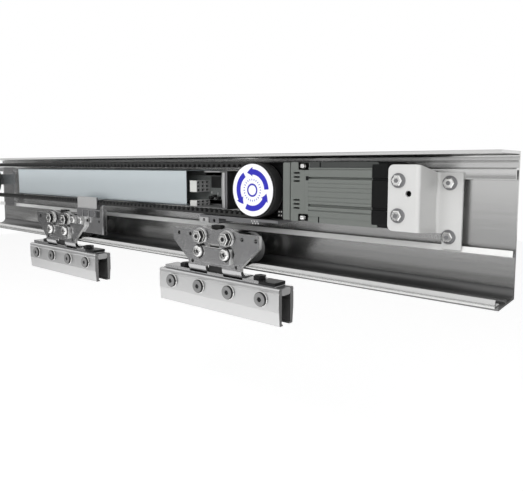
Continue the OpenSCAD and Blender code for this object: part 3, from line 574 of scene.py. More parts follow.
@dataclass(frozen=True)
class DiscFinish(Finish):
    """Printed disc: white with three turning arrows and small marks, all generic.

    Attributes:
        centre: Middle of the disc in metres.
        size: Radius of the disc in metres.
        ink: Linear colour of the print.
    """

    centre: Colour = (0.229, 0.0, 0.026)
    size: float = 0.0286
    ink: Colour = (0.019, 0.018, 0.42)

    def tint(self, w: Wiring, grain: bpy.types.Node) -> bpy.types.NodeSocket:
        """Wires the print over the plain colour."""
        plain = Finish.tint(self, w, grain)
        polar = w.add("ShaderNodeGroup", node_tree=Effects.polar())
        polar.inputs["Centre"].default_value = self.centre
        polar.inputs["Size"].default_value = self.size
        radius = polar.outputs["Radius"]
        third = w.math("FRACT", w.math("MULTIPLY", polar.outputs["Turn"], 3.0))
        head = w.math("MULTIPLY", w.math("SUBTRACT", 0.93, third), 0.95)
        shaft = w.math("LESS_THAN", third, 0.74)
        tip = w.math("MULTIPLY", w.math("SUBTRACT", 1.0, shaft), head)
        wide = w.math("MAXIMUM", w.math("MULTIPLY", shaft, 0.105), tip)
        off = w.math("ABSOLUTE", w.math("SUBTRACT", radius, 0.69))
        after = w.math("GREATER_THAN", third, 0.03)
        arrows = w.math("MULTIPLY", w.math("LESS_THAN", off, wide), after)
        hub_off = w.math("ABSOLUTE", w.math("SUBTRACT", radius, 0.22))
        hub = w.math("LESS_THAN", hub_off, 0.035)
        ticks = w.math("FRACT", w.math("MULTIPLY", polar.outputs["Turn"], 24.0))
        tick_off = w.math("ABSOLUTE", w.math("SUBTRACT", radius, 0.40))
        short = w.math("LESS_THAN", ticks, 0.3)
        tick = w.math("MULTIPLY", w.math("LESS_THAN", tick_off, 0.035), short)
        marks = w.math("MAXIMUM", w.math("MAXIMUM", arrows, hub), tick)
        return w.blend(marks, plain, (*self.ink, 1.0))


BEAM_METAL = Finish(
    "anodised_beam", (0.62, 0.62, 0.615), metallic=1.0, roughness=0.24, tone=0.04, fine=260.0,
    stretch=(0.04, 1.0, 1.0), gloss_change=0.06, bump=0.12, depth=0.00005,
)
# Painted shade: dark finish for the bottom of the beam's lower channel.
CHANNEL_PAINTED_SHADE = Finish(
    "channel_bottom_painted_shade", (0.12, 0.12, 0.12), metallic=0.8, roughness=0.42, tone=0.12, fine=300.0,
    stretch=(0.05, 1.0, 1.0), gloss_change=0.08, bump=0.25, depth=0.00005,
)
# Painted highlight: pale finish for the bright front face of the nose lip.
NOSE_PAINTED_HIGHLIGHT = Finish(
    "nose_painted_highlight", (0.78, 0.78, 0.77), metallic=0.2, roughness=0.34, tone=0.05, fine=260.0,
    stretch=(0.04, 1.0, 1.0), gloss_change=0.06, bump=0.15, depth=0.00005,
)
# Painted shade: dark finish for the lowest part of the front lip.
LOWER_LIP_PAINTED_SHADE = Finish(
    "lower_lip_painted_shade", (0.2, 0.2, 0.2), metallic=0.7, roughness=0.36, tone=0.08, fine=260.0,
    stretch=(0.04, 1.0, 1.0), gloss_change=0.06, bump=0.15, depth=0.00005,
)
CLAMP_METAL = Finish(
    "satin_clamp", (0.64, 0.64, 0.64), metallic=0.9, roughness=0.3, tone=0.03, fine=700.0,
    stretch=(0.06, 1.0, 1.0), gloss_change=0.05, bump=0.15, depth=0.00005,
)
ZINC = Finish(
    "zinc_plate", (0.5, 0.5, 0.505), metallic=1.0, roughness=0.2, tone=0.16, fine=520.0,
    gloss_change=0.1, bump=0.2, depth=0.0001,
)
DULL_ZINC = Finish(
    "dull_zinc", (0.27, 0.27, 0.27), metallic=0.5, roughness=0.33, tone=0.3, fine=650.0,
    gloss_change=0.12, bump=0.3, depth=0.0001,
)
# Painted highlight: bright finish for the edges of the zinc plates.
ZINC_RIM_PAINTED_HIGHLIGHT = Finish(
    "zinc_rim_painted_highlight", (0.85, 0.85, 0.84), metallic=0.5, roughness=0.3, tone=0.05, fine=600.0,
    gloss_change=0.06, bump=0.15,
)
BRIGHT_ZINC = Finish(
    "bright_zinc", (0.82, 0.82, 0.81), metallic=1.0, roughness=0.13, tone=0.2, fine=420.0,
    gloss_change=0.1, bump=0.35, depth=0.0003,
)
DARK_STEEL = Finish(
    "dark_steel", (0.09, 0.09, 0.092), metallic=0.6, roughness=0.4, tone=0.14, fine=500.0,
    gloss_change=0.08, bump=0.3, shine=0.3,
)
BLACK_STEEL = Finish(
    "black_oxide", (0.012, 0.012, 0.013), metallic=0.4, roughness=0.35, tone=0.2, fine=700.0,
    gloss_change=0.08, bump=0.3, shine=0.35,
)
BLACK_CAST = Finish(
    "black_casting", (0.0035, 0.0038, 0.0038), metallic=0.0, roughness=0.5, tone=0.25, fine=1100.0,
    gloss_change=0.08, bump=0.4, depth=0.0002, shine=0.18,
)
MOTOR_GREY = Finish(
    "motor_grey", (0.085, 0.092, 0.087), metallic=0.1, roughness=0.45, tone=0.07, fine=1200.0,
    stretch=(0.3, 1.0, 1.0), gloss_change=0.06, bump=0.25, shine=0.35,
)
# Painted shade: darker grey for the upper ridge of the motor housing.
MOTOR_RIDGE_PAINTED_SHADE = Finish(
    "motor_ridge_painted_shade", (0.05, 0.053, 0.051), metallic=0.1, roughness=0.5, tone=0.07, fine=1200.0,
    stretch=(0.3, 1.0, 1.0), gloss_change=0.06, bump=0.25, shine=0.3,
)
WHITE_SHEET = Finish(
    "white_sheet", (0.645, 0.645, 0.637), metallic=0.2, roughness=0.36, tone=0.03, fine=900.0,
    gloss_change=0.05, bump=0.2,
)
RUBBER = Finish(
    "belt_rubber", (0.0035, 0.0035, 0.0035), metallic=0.0, roughness=0.7, tone=0.25, fine=1300.0,
    gloss_change=0.1, bump=0.4, depth=0.0002, shine=0.1,
)
COVER_PAINT = Finish(
    "cover_sheet", (0.76, 0.83, 0.86), metallic=0.88, roughness=0.38, tone=0.02, fine=1400.0,
    gloss_change=0.04, bump=0.12,
)
BOARD = Finish(
    "board_lacquer", (0.12, 0.128, 0.125), metallic=0.0, roughness=0.42, tone=0.3, fine=420.0,
    gloss_change=0.08, bump=0.2,
)
BOARD_PLATE = Finish(
    "plated_chassis", (0.18, 0.182, 0.182), metallic=0.2, roughness=0.45, tone=0.25, fine=420.0,
    gloss_change=0.08, bump=0.2,
)
NYLON = Finish(
    "natural_nylon", (0.60, 0.60, 0.58), metallic=0.0, roughness=0.42, tone=0.04, gloss_change=0.06,
    bump=0.2,
)
# Painted shade: darker nylon for the connector ends that face away from the light.
NYLON_END_PAINTED_SHADE = Finish(
    "nylon_end_painted_shade", (0.3, 0.3, 0.3), metallic=0.0, roughness=0.5, tone=0.1, gloss_change=0.06,
    bump=0.2,
)
DISC = DiscFinish(
    "printed_disc", (0.9, 0.9, 0.92), metallic=0.0, roughness=0.35, tone=0.01, gloss_change=0.03,
    bump=0.05,
)
CLIP_GREY = Finish(
    "clip_casting", (0.42, 0.42, 0.42), metallic=0.3, roughness=0.45, tone=0.06, fine=1000.0,
    gloss_change=0.06, bump=0.3,
)
BLACK_NYLON = Finish(
    "black_nylon", (0.012, 0.012, 0.012), metallic=0.0, roughness=0.45, tone=0.2, fine=1000.0,
    gloss_change=0.08, bump=0.3, shine=0.35,
)
GREY_NYLON = Finish(
    "grey_nylon", (0.36, 0.36, 0.36), metallic=0.5, roughness=0.34, tone=0.08, fine=1000.0,
    gloss_change=0.08, bump=0.2,
)
PULLEY_METAL = Finish(
    "turned_pulley", (0.16, 0.16, 0.16), metallic=1.0, roughness=0.32, tone=0.06, fine=700.0,
    gloss_change=0.08, bump=0.2,
)
LINER = Finish(
    "liner_rubber", (0.008, 0.008, 0.008), metallic=0.0, roughness=0.7, tone=0.2, fine=1200.0,
    gloss_change=0.08, bump=0.4, depth=0.0002, shine=0.2,
)


@dataclass(frozen=True)
class Card:
    """A graded studio card that only shiny surfaces see.

    Attributes:
        name: Name of the card.
        corners: Its four corners in metres.
        along: Place along the beam in metres and brightness there.
        other: Axis of the second grading, 1 for depth and 2 for height.
        across: Place on that axis in metres and brightness there.
    """

    name: str
    corners: Tuple[Colour, ...]
    along: Tuple[Point, ...]
    other: int
    across: Tuple[Point, ...]

    def _ramp(self, w: Wiring, place: bpy.types.NodeSocket, stops: Sequence[Point]):
        """Wires one grading.

        Args:
            w: Wiring of the material.
            place: Coordinate in metres.
            stops: Places and brightnesses, in rising order.

        Returns:
            The brightness socket.
        """
        first, last = stops[0][0], stops[-1][0]
        share = w.math("DIVIDE", w.math("SUBTRACT", place, first), last - first, clamp=True)
        ramp = w.add("ShaderNodeValToRGB")
        w.link(share, ramp.inputs[0])
        ends = ramp.color_ramp.elements
        ends[0].color = (stops[0][1],) * 3 + (1,)
        ends[1].color = (stops[-1][1],) * 3 + (1,)
        for spot, value in stops[1:-1]:
            ends.new((spot - first) / (last - first)).color = (value,) * 3 + (1,)
        return ramp.outputs[0]

    def build(self) -> None:
        """Makes the card."""
        bm = bmesh.new()
        bm.faces.new([bm.verts.new(c) for c in self.corners])
        mesh = bpy.data.meshes.new(self.name)
        bm.to_mesh(mesh)
        bm.free()
        made = bpy.data.objects.new(self.name, mesh)
        bpy.context.scene.collection.objects.link(made)
        paint = bpy.data.materials.new(self.name)
        paint.use_nodes = True
        w = Wiring(paint.node_tree)
        parts = w.add("ShaderNodeSeparateXYZ")
        w.link(w.add("ShaderNodeTexCoord").outputs["Object"], parts.inputs[0])
        along = self._ramp(w, parts.outputs[0], self.along)
        across = self._ramp(w, parts.outputs[self.other], self.across)
        glow = w.add("ShaderNodeEmission")
        w.link(w.math("MULTIPLY", along, across), glow.inputs["Strength"])
        w.link(glow.outputs[0], paint.node_tree.nodes["Material Output"].inputs[0])
        mesh.materials.append(paint)
        made.visible_camera = False
        made.visible_diffuse = False
        made.visible_shadow = False
        made.visible_transmission = False


@dataclass
class Studio:
    """Camera, floor, world and lamps.

    Attributes:
        eye: Place of the camera in metres.
        yaw: Turn of the camera to the left, in degrees.
        pitch: Tilt of the camera downwards, in degrees.
        lens: Focal length for a sensor of 36 mm.
        shift: Shift of the picture upwards.
        floor_z: Height of the floor in metres.
    """

    eye: Tuple[float, float, float] = (0.590941, -0.484064, 0.053026)
    yaw: float = 39.358
    pitch: float = 5.384
    lens: float = 35.657
    shift: float = -0.0615
    floor_z: float = -0.55

    def camera(self) -> None:
        """Makes the camera."""
        data = bpy.data.cameras.new("camera")
        data.sensor_width = 36.0
        data.sensor_fit = "HORIZONTAL"
        data.lens = self.lens
        data.shift_y = self.shift
        data.clip_start = 0.01
        made = bpy.data.objects.new("camera", data)
        made.location = self.eye
        made.rotation_euler = (math.radians(90 - self.pitch), 0, math.radians(self.yaw))
        bpy.context.scene.collection.objects.link(made)
        bpy.context.scene.camera = made

    def backdrop(self) -> None:
        """Makes the pale floor."""
        bm = bmesh.new()
        bmesh.ops.create_grid(bm, x_segments=1, y_segments=1, size=4.0)
        mesh = bpy.data.meshes.new("floor")
        bm.to_mesh(mesh)
        bm.free()
        floor = bpy.data.objects.new("floor", mesh)
        floor.location = (0, 0, self.floor_z)
        bpy.context.scene.collection.objects.link(floor)
        paint = bpy.data.materials.new("pale_floor")
        paint.use_nodes = True
        w = Wiring(paint.node_tree)
        shader = paint.node_tree.nodes["Principled BSDF"]
        shader.inputs["Base Color"].default_value = (0.85, 0.85, 0.85, 1)
        shader.inputs["Roughness"].default_value = 0.9
        shader.inputs["Emission Color"].default_value = (1, 1, 1, 1)
        w.link(w.math("MULTIPLY", self._seen(w), 0.5), shader.inputs["Emission Strength"])
        mesh.materials.append(paint)

    def _seen(self, w: Wiring) -> bpy.types.NodeSocket:
        """Gives 1 for rays of the camera, of gloss and through glass."""
        path = w.add("ShaderNodeLightPath")
        seen = w.math("MAXIMUM", path.outputs["Is Camera Ray"], path.outputs["Is Glossy Ray"])
        return w.math("MAXIMUM", seen, path.outputs["Is Transmission Ray"])

    def world(self) -> None:
        """Makes the even world light behind a white background."""
        world = bpy.data.worlds.new("studio")
        bpy.context.scene.world = world
        world.use_nodes = True
        w = Wiring(world.node_tree)
        back = world.node_tree.nodes["Background"]
        back.inputs["Color"].default_value = (1, 1, 1, 1)
        strength = w.math("MULTIPLY_ADD", self._seen(w), 0.55, 0.45)
        w.link(strength, back.inputs["Strength"])

    def lamp(self, name: str, place: Colour, aim: Colour, size: float, power: float) -> None:
        """Makes one soft lamp.

        Args:
            name: Name of the lamp.
            place: Where it stands, in metres.
            aim: Where it points.
            size: Width of its square.
            power: Power in watts.
        """
        data = bpy.data.lights.new(name, "AREA")
        data.size = size
        data.energy = power
        made = bpy.data.objects.new(name, data)
        made.location = place
        made.rotation_euler = (Vector(aim) - Vector(place)).to_track_quat("-Z", "Y").to_euler()
        made.visible_glossy = False
        bpy.context.scene.collection.objects.link(made)

    def cards(self) -> List[Card]:
        """Gives the dark cards whose reflections shape the bare metal."""
        front, over, under = -1.6, -1.57, self.floor_z + 0.05
        return [
            Card(
                "front_card",
                ((-5.0, front, -0.54), (2.0, front, -0.54), (2.0, front, 0.04), (-5.0, front, 0.04)),
                (
                    (-5.0, 0.23), (-3.5, 0.24), (-2.9, 0.36), (-2.1, 0.84), (-1.5, 1.0), (-0.6, 0.95),
                    (-0.3, 1.0), (2.0, 1.0),
                ),
                2,
                (
                    (-0.54, 0.16), (-0.45, 0.17), (-0.38, 0.24), (-0.33, 0.42), (-0.285, 0.6),
                    (-0.25, 0.3), (-0.21, 0.2), (-0.165, 0.22), (-0.13, 0.5), (-0.1, 0.95), (0.04, 1.0),
                ),
            ),
            Card(
                "front_upper_card",
                ((-5.0, over, 0.03), (-0.2, over, 0.03), (-0.2, over, 0.22), (-5.0, over, 0.22)),
                ((-5.0, 1.0), (-0.5, 1.0), (-0.2, 4.0)),
                2,
                ((0.03, 0.25), (0.07, 0.05), (0.18, 0.05), (0.22, 0.25)),
            ),
            Card(
                "low_left_card",
                ((-5.0, -3.0, under), (-1.6, -3.0, under), (-1.6, -0.5, under), (-5.0, -0.5, under)),
                ((-5.0, 0.4), (-2.0, 0.4), (-1.6, 1.0)),
                1,
                ((-3.0, 1.0), (-0.5, 1.0)),
            ),
            Card(
                "low_right_card",
                ((0.5, 0.3, under), (4.0, 0.3, under), (4.0, 4.0, under), (0.5, 4.0, under)),
                ((0.5, 0.12), (4.0, 0.12)),
                1,
                ((0.3, 1.0), (4.0, 1.0)),
            ),
        ]

    def build(self) -> None:
        """Makes the whole studio."""
        self.camera()
        bpy.context.scene.view_settings.view_transform = "Standard"
        self.world()
        self.backdrop()
        for card in self.cards():
            card.build()
        self.lamp("key", (0.4, -2.3, 1.3), (0.1, 0, 0), 1.8, 44.0)
        self.lamp("fill", (2.0, -1.5, 0.5), (0.1, 0, 0), 1.2, 9.0)
        LOG.info("studio ready")


@dataclass
class Beam:
    """The extruded beam.

    Attributes:
        half: Half its length.
        top: Height of the roof.
        low: Height of the lowest face.
    """

    half: float = 480.0
    top: float = 65.0
    low: float = -64.2

    def outline(self) -> List[Point]:
        """Gives the cross-section in depth and height."""
        t, b = self.top, self.low
        return [
            (0.0, b), (0.0, t), (59.6, t), (59.6, t - 0.8), (60.0, t - 2.8), (59.8, t - 3.0),
            (57.6, t - 3), (57.2, t - 2.6), (5.2, t - 2.6), *arc(5.2, t - 4.8, 2.2, 90, 180, 5),
            (3.0, t - 8.0), (5.0, t - 8.0), (5.4, t - 8.4), (5.4, t - 9.0), (5.0, t - 9.4), (3.0, t - 9.4),
            (3.0, t - 14.4), *arc(10.6, t - 15.8, 1.4, 90, 0, 4), *arc(11.3, t - 24.1, 0.7, 0, -90, 3),
            *arc(10.7, t - 24.1, 0.7, -90, -180, 3), (10.0, t - 16.4), (3.0, t - 16.4),
            (3.0, -24.0), (10.0, -24.0), *arc(10.5, -20.5, 0.5, 180, 70, 4),
            (12.0, -25.2), *arc(11.2, -25.2, 0.8, 0, -90, 3), (3.0, -26.0),
            *arc(12.0, b + 10.7, 9.0, 180, 270, 12), (25.0, b + 1.7), *arc(27.0, b + 3.2, 2.0, 180, 0, 10),
            (29.0, b + 1.7), (47.3, b + 1.7), (47.3, b + 5.9), (57.6, b + 5.9),
            (57.6, b + 10.6), *arc(58.2, b + 10.6, 0.6, 180, 80, 4), (59.1, b + 10.2), (59.7, b + 7.4),
            (59.3, b + 7.1), (59.3, b + 6.8), (60.0, b + 6.5),
            *arc(59.2, b + 5.0, 0.8, 0, -90, 3), (49.0, b + 4.2), *arc(48.4, b + 0.6, 0.6, 0, -90, 3),
        ]

    def build(self) -> None:
        """Makes the beam with its running rail, with painted shade in the lower channel and on the lower lip
        and a painted highlight on the nose.
        """
        shape = Shape("beam_extrusion")
        shape.prism(self.outline(), Run.ALONG, -self.half, self.half)
        rail = self.low + 10.5
        # Painted shade: the floor, cove and running rail of the lower channel get a dark finish.
        shape.repaint(1, lambda spot, side: 3 < -spot.y < 47 and spot.z < rail and side.z > -0.5)
        # Painted highlight on the front face of the nose lip.
        shape.repaint(2, lambda spot, side: 11 < -spot.y < 13 and -26.4 < spot.z < -19.6)
        # Painted shade on the lowest part of the front lip.
        shape.repaint(3, lambda spot, side: -spot.y > 47 and spot.z < self.low + 3.4 and side.z < 0.5)
        metals = [BEAM_METAL, CHANNEL_PAINTED_SHADE, NOSE_PAINTED_HIGHLIGHT, LOWER_LIP_PAINTED_SHADE]
        shape.piece("track", metals, ["beam"], edge=0.15, rounds=1)


@dataclass
class DriveUnit:
    """Gearbox, motor and the strip under them.

    Attributes:
        x: Place of the pulley axis.
        z: Height of the pulley axis.
        front: Distance of the motor front from the wall.
        back: Distance of the motor back from the wall.
        half_h: Half height of the motor.
        corner: Side of the cut corners that hold the screws.
        ridge: Height of the strip at the top of the housing.
        base: Height of the strip's top.
    """

    x: float = 229.0
    z: float = 26.0
    front: float = 56.0
    back: float = 12.6
    half_h: float = 30.0
    corner: float = 8.0
    ridge: float = 5.6
    base: float = -5.3

    def ends(self) -> Point:
        """Gives the lowest and highest point of the motor."""
        return (self.z - self.half_h, self.z + self.half_h)

    def body_outline(
        self, grooves: Sequence[Tuple[float, float, float]], r: float, shelf: float = 0.0
    ) -> List[Point]:
        """Gives a motor cross-section in depth and height.

        Args:
            grooves: Height, half width and depth of each groove, from the top down.
            r: Radius of the corners.
            shelf: How far the strip at the top stands back.

        Returns:
            The points.
        """
        low, top = self.ends()
        points = [(self.back, low + r), (self.back, top - r), *arc(self.back + r, top - r, r, 180, 90, 4)]
        points += arc(self.front - shelf - r, top - r, r, 90, 0, 6)
        if shelf > 0:
            points += [(self.front - shelf, top - self.ridge), (self.front, top - self.ridge)]
        for height, half, deep in grooves:
            points += [
                (self.front, height + half), (self.front - deep, height + half * 0.7),
                (self.front - deep, height - half * 0.7), (self.front, height - half),
            ]
        points += arc(self.front - r, low + r, r, 0, -90, 6)
        points += arc(self.back + r, low + r, r, -90, -180, 4)
        return points

    def gearbox(self) -> None:
        """Makes the black gearbox with its ribs, shelf and wire plug."""
        shape = Shape("gearbox_casting")
        low, high = self.ends()
        shape.prism(soften(rect(196.0, 268.5, low, high), 5, 5), Run.DEPTH, self.back, 34.0)
        shape.prism(soften(rect(200.0, 264.5, low + 4, high - 4), 5, 5), Run.DEPTH, 34.0, 39.2)
        for x in (205.0, 216.0, 242.0, 253.0):
            shape.block(x, x + 2.4, 39.2, 40.0, low + 8, high - 8)
        shape.block(260.0, 268.5, 34.0, 40.0, low + 2, high - 2)
        shape.piece("track", [BLACK_CAST], ["gearbox"], edge=0.6)
        plug = Shape("motor_wire_plug")
        plug.block(250.5, 264.0, 40.0, 41.6, low + 1, low + 9)
        plug.paint = 1
        for i in range(4):
            for j in range(2):
                plug.lathe(
                    [(0, 0), (0.9, 0), (0.9, 0.35), (0, 0.35)], 252.6 + i * 3.2, 41.5, low + 3 + j * 4,
                    Run.DEPTH, 12,
                )
        plug.piece("track", [BLACK_NYLON, NYLON], edge=0.15)

    def flange(self) -> None:
        """Makes the motor flange and the vented cap with its screw pockets, with black sheets as painted
        shade behind the vents and in the pockets.
        """
        flange = Shape("motor_flange_plate")
        flange.prism(self.body_outline([], 2.2), Run.ALONG, 268.5, 277.2)
        low, high = self.ends()
        seam = soften(rect(self.back, self.front - 1.2, low + 1.2, high - 1.2), 2, 4)
        flange.prism(seam, Run.ALONG, 277.2, 278.5)
        flange.piece("track", [MOTOR_GREY], ["motor_flange"], edge=0.5)
        cut = self.corner
        holes = [
            rect(281.9, 289.5, h + i * 4.1 - 0.85, h + i * 4.1 + 0.85)
            for h in (41.0, 13.7) for i in (-1, 0, 1)
        ]
        core = rect(278.5, 295.5, low, high)
        face = [
            (278.5, low), (287.6, low), (287.6, low + cut), (295.5, low + cut), (295.5, high - cut),
            (287.6, high - cut), (287.6, high), (278.5, high),
        ]
        cap = Shape("vented_cap")
        cap.prism(soften(core, 0.6, 2), Run.DEPTH, self.back, self.front - cut)
        cap.prism(soften(face, 1.4, 3), Run.DEPTH, self.front - cut, self.front, holes)
        cap.piece("track", [MOTOR_GREY], ["vent_cap"], edge=0.5)
        # Painted shade: thin black sheets behind the vent slots and on the back and side faces of the screw
        # pockets.
        dark = Shape("vent_and_pocket_painted_shade")
        deep = self.front - cut
        dark.block(281.0, 290.4, deep + 0.02, deep + 0.4, 8.0, 47.0)
        for z0, z1 in ((low + 0.4, low + cut - 0.1), (high - cut + 0.1, high - 0.4)):
            dark.block(287.65, 300.0, deep, deep + 0.25, z0, z1)
            dark.block(287.6, 287.85, deep, self.front - 0.9, z0, z1)
        dark.piece("track", [BLACK_CAST], edge=0)

    def housing(self) -> None:
        """Makes the grooved housing with its two corner ridges, the upper one darker as painted shade."""
        low, high = self.ends()
        cut = self.corner
        faint = [(h, 0.4, 0.45) for h in (35.3, 31.2, 27.2, 21.6, 17.4)]
        grooves = [
            (48.7, 0.5, 0.8), (40.3, 1.1, 3.0), *faint, (13.1, 1.3, 3.0), (8.0, 0.6, 1.2), (1.6, 0.5, 1.0),
        ]
        shape = Shape("motor_housing_grooved")
        shape.prism(self.body_outline(grooves, 1.8, 1.2), Run.ALONG, 300.0, 369.5)
        deep = self.front - cut
        inner = [
            (self.back, low), (self.back, high), (deep, high), (deep, high - cut), (self.front, high - cut),
            (self.front, low + cut), (deep, low + cut), (deep, low),
        ]
        shape.prism(inner, Run.ALONG, 295.5, 300.0)
        lower = [(302.0, low), (375.4, low), *arc(371.4, low + 6.0, 4.0, 0, 90, 8), (302.0, low + 10.0)]
        shape.prism(lower, Run.DEPTH, 40.0, self.front - 0.3)
        # Painted shade: the upper ridge gets a darker grey than the rest of the housing.
        shape.paint = 1
        bottom = high - self.ridge + 0.2
        half = (high - bottom) / 2
        upper = [(301.0, bottom), *arc(373.4, bottom + half, half, -90, 90, 10), (301.0, high)]
        shape.prism(soften(upper, 0.2, 1), Run.DEPTH, 44.0, self.front - 0.4)
        shape.piece("track", [MOTOR_GREY, MOTOR_RIDGE_PAINTED_SHADE], ["motor_housing"], edge=0.4)
        marks = Shape("housing_joints")
        face = self.front - 0.05
        marks.block(312.9, 314.3, face - 0.5, face - 0.2, 50.7, 55.6)
        marks.block(311.9, 313.3, face, face + 0.15, -3.6, 2.2)
        marks.block(297.0, 300.2, face, face + 0.15, 37.8, 42.0)
        marks.piece("track", [BLACK_CAST], edge=0)

    def screws(self) -> None:
        """Makes the two corner screws of the motor."""
        shape = Shape("motor_corner_screws")
        low, high = self.ends()
        for z in (low + 4, high - 4):
            profile = [(0, 0), (3.0, 0), (3.0, 3.4), (2.4, 4.0), (1.5, 4.0), (1.5, 2.4), (0, 2.4)]
            shape.lathe(profile, 289.5, 52.0, z, Run.ALONG, 24)
            shape.lathe([(0, 0), (1.9, 0), (1.9, 3.0), (0, 3.0)], 286.6, 52.0, z, Run.ALONG, 16)
        shape.piece("track", [BRIGHT_ZINC], ["motor_screws"], edge=0.15)

    def end_cap(self) -> None:
        """Makes the black end cap with its raised rear boss."""
        shape = Shape("motor_end_cover")
        low, high = self.ends()
        seams = [(40.3, 1.2, 1.6), (13.1, 1.4, 1.6)]
        shape.prism(self.body_outline(seams, 4.0), Run.ALONG, 369.5, 385.0)
        shape.prism(soften(rect(self.back, 50.0, low + 8, high - 8), 4, 5), Run.ALONG, 377.0, 411.0)
        for z in (39.5, 8.5):
            shape.lathe([(0, 0), (6.6, 0), (6.6, 6.0), (0, 6.0)], 395.2, 47.0, z, Run.DEPTH, 32)
        shape.piece("track", [BLACK_CAST], ["motor_end_cap"], edge=0.6)

    def rail(self) -> None:
        """Makes the strip, tubes and block under the drive."""
        shape = Shape("drive_mounting_rail")
        top, low = self.base, self.base - 3.0
        shape.block(144.3, 262.0, 3.0, 56.0, low, top)
        shape.block(196.0, 262.0, 3.0, 12.0, low, -4.0)
        shape.block(187.1, 236.4, 14.0, 56.0, low - 2.0, low)
        for i, x in enumerate((144.3, 161.1)):
            shape.paint = 1 - i
            outer = soften(rect(x, x + 15.0, low - 6.0, low), 0.5, 2)
            shape.prism(outer, Run.DEPTH, 14.0, 56.0, [ring(x + 7.5, low - 3.0, 1.9, 20)])
        shape.piece("track", [DARK_STEEL, CLIP_GREY], ["drive_base"], edge=0.3)
        pins = Shape("block_crimp_pins")
        for i in range(3):
            for j in range(2):
                pins.lathe(
                    [(0, 0), (0.8, 0), (0.8, 0.4), (0.4, 0.6), (0, 0.6)], 226.0 + i * 3.8 + j * 1.6, 55.8,
                    low + 0.6 - j * 2.4, Run.DEPTH, 12,
                )
        pins.piece("track", [BRIGHT_ZINC], edge=0)

    def build(self) -> None:
        """Makes the whole drive unit."""
        self.gearbox()
        self.flange()
        self.housing()
        self.screws()
        self.end_cap()
        self.rail()


@dataclass
class MotorBracket:
    """The pale sheet bracket at the motor's end.

    Attributes:
        x0: Left edge of the front plate.
        x1: Outer face of the bend.
        x2: Right edge of the wall plate.
        thick: Thickness of the sheet.
        front: Distance of the front face from the wall.
        wall: Distance of the wall plate's face from the wall.
        low: Bottom of the front plate.
        high: Top of the front plate.
        foot: Bottom of the wall plate.
        head: Top of the wall plate.
    """

    x0: float = 385.5
    x1: float = 414.5
    x2: float = 437.5
    thick: float = 3.0
    front: float = 56.0
    wall: float = 15.0
    low: float = -5.5
    high: float = 53.5
    foot: float = -23.6
    head: float = 46.4

    def web(self, shape: Shape) -> None:
        """Adds the bent part between the two plates.

        Args:
            shape: Shape that it is added to.
        """
        t, bend, step = self.thick, 4.0, self.x1 + self.thick
        start = len(shape.bm.faces)
        end = self.x1 + 5.4
        outer = [
            *arc(self.x1 - bend, self.front - bend, bend, 90, 0, 8),
            *arc(step, self.wall + t, t, 180, 270, 6),
            (end, self.wall),
        ]
        inner = [
            (end, self.wall - t), *arc(step, self.wall + t, t * 2, 270, 180, 6),
            *arc(self.x1 - bend, self.front - bend, bend - t, 0, 90, 4),
        ]
        shape.prism(outer + inner, Run.UP, self.low - 6.0, self.high + 1.0)
        run = (self.front - self.wall) * MM
        pivot = -self.front * MM
        drop = (self.high - self.head) * MM
        shape.trim(Vector((0, pivot, self.high * MM)), Vector((0, drop, run)), start)
        shape.trim(Vector((0, pivot, self.low * MM)), Vector((0, -0.004, -run)), start)

    def build(self) -> None:
        """Makes the bracket with its bolts and nuts."""
        shape = Shape("motor_bracket_sheet")
        corner, edge = 5.0, self.x1 - 4.0
        outline = [
            (edge, self.low), (edge, self.high),
            *arc(self.x0 + corner, self.high - corner, corner, 90, 180, 8),
            *arc(self.x0 + corner, self.low + corner, corner, 180, 270, 8),
        ]
        shape.prism(outline, Run.DEPTH, self.front - self.thick, self.front, [ring(404.6, 28.1, 2.7, 24)])
        self.web(shape)
        side = self.x1 + 5.4
        plate = [(side, self.foot), (self.x2, self.foot), (self.x2, self.head), (side, self.head)]
        shape.prism(soften(plate, 1.0, 3), Run.DEPTH, self.wall - self.thick, self.wall)
        shape.piece("track", [WHITE_SHEET], ["motor_bracket"], edge=0.25)
        bolts = Shape("bracket_hex_bolts")
        for z in (39.5, 8.5):
            hex_bolt(bolts, 395.2, self.front, z)
        for z in (36.9, -12.2):
            hex_bolt(bolts, 426.0, self.wall, z)
        bolts.piece("track", [BRIGHT_ZINC, DARK_STEEL], ["bracket_bolts"], edge=0.4)
        dress("slot_nuts", DARK_STEEL)


def hex_bolt(shape: Shape, x: float, d: float, z: float, size: float = 5.2, tall: float = 4.0) -> None:
    """Adds a flanged hexagon bolt that points off the wall.

    Args:
        shape: Shape that it is added to, whose second finish, such as dull zinc, colours the flange and a
            flat hexagon on top that is painted shade.
        x: Place along the beam.
        d: Depth of the face it sits on.
        z: Height.
        size: Radius over the corners.
        tall: Height of the hexagon.
    """
    shape.paint = 1
    shape.lathe([(0, 0), (6.6, 0), (6.6, 0.8), (6.2, 1.2), (0, 1.2)], x, d, z, Run.DEPTH, 40)
    shape.paint = 0
    body = [(0, 0), (size, 0), (size, tall - 0.8), (size - 0.9, tall), (0, tall)]
    shape.lathe(body, x, d + 1.2, z, Run.DEPTH, 6)
    top = d + 1.2 + tall
    # Painted shade: a flat dark hexagon on the head stands in for a shaded socket.
    shape.paint = 1
    shape.lathe([(size * 0.42, 0), (size * 0.42, 0.1), (0, 0.1)], x, top - 0.02, z, Run.DEPTH, 6)
    shape.paint = 0


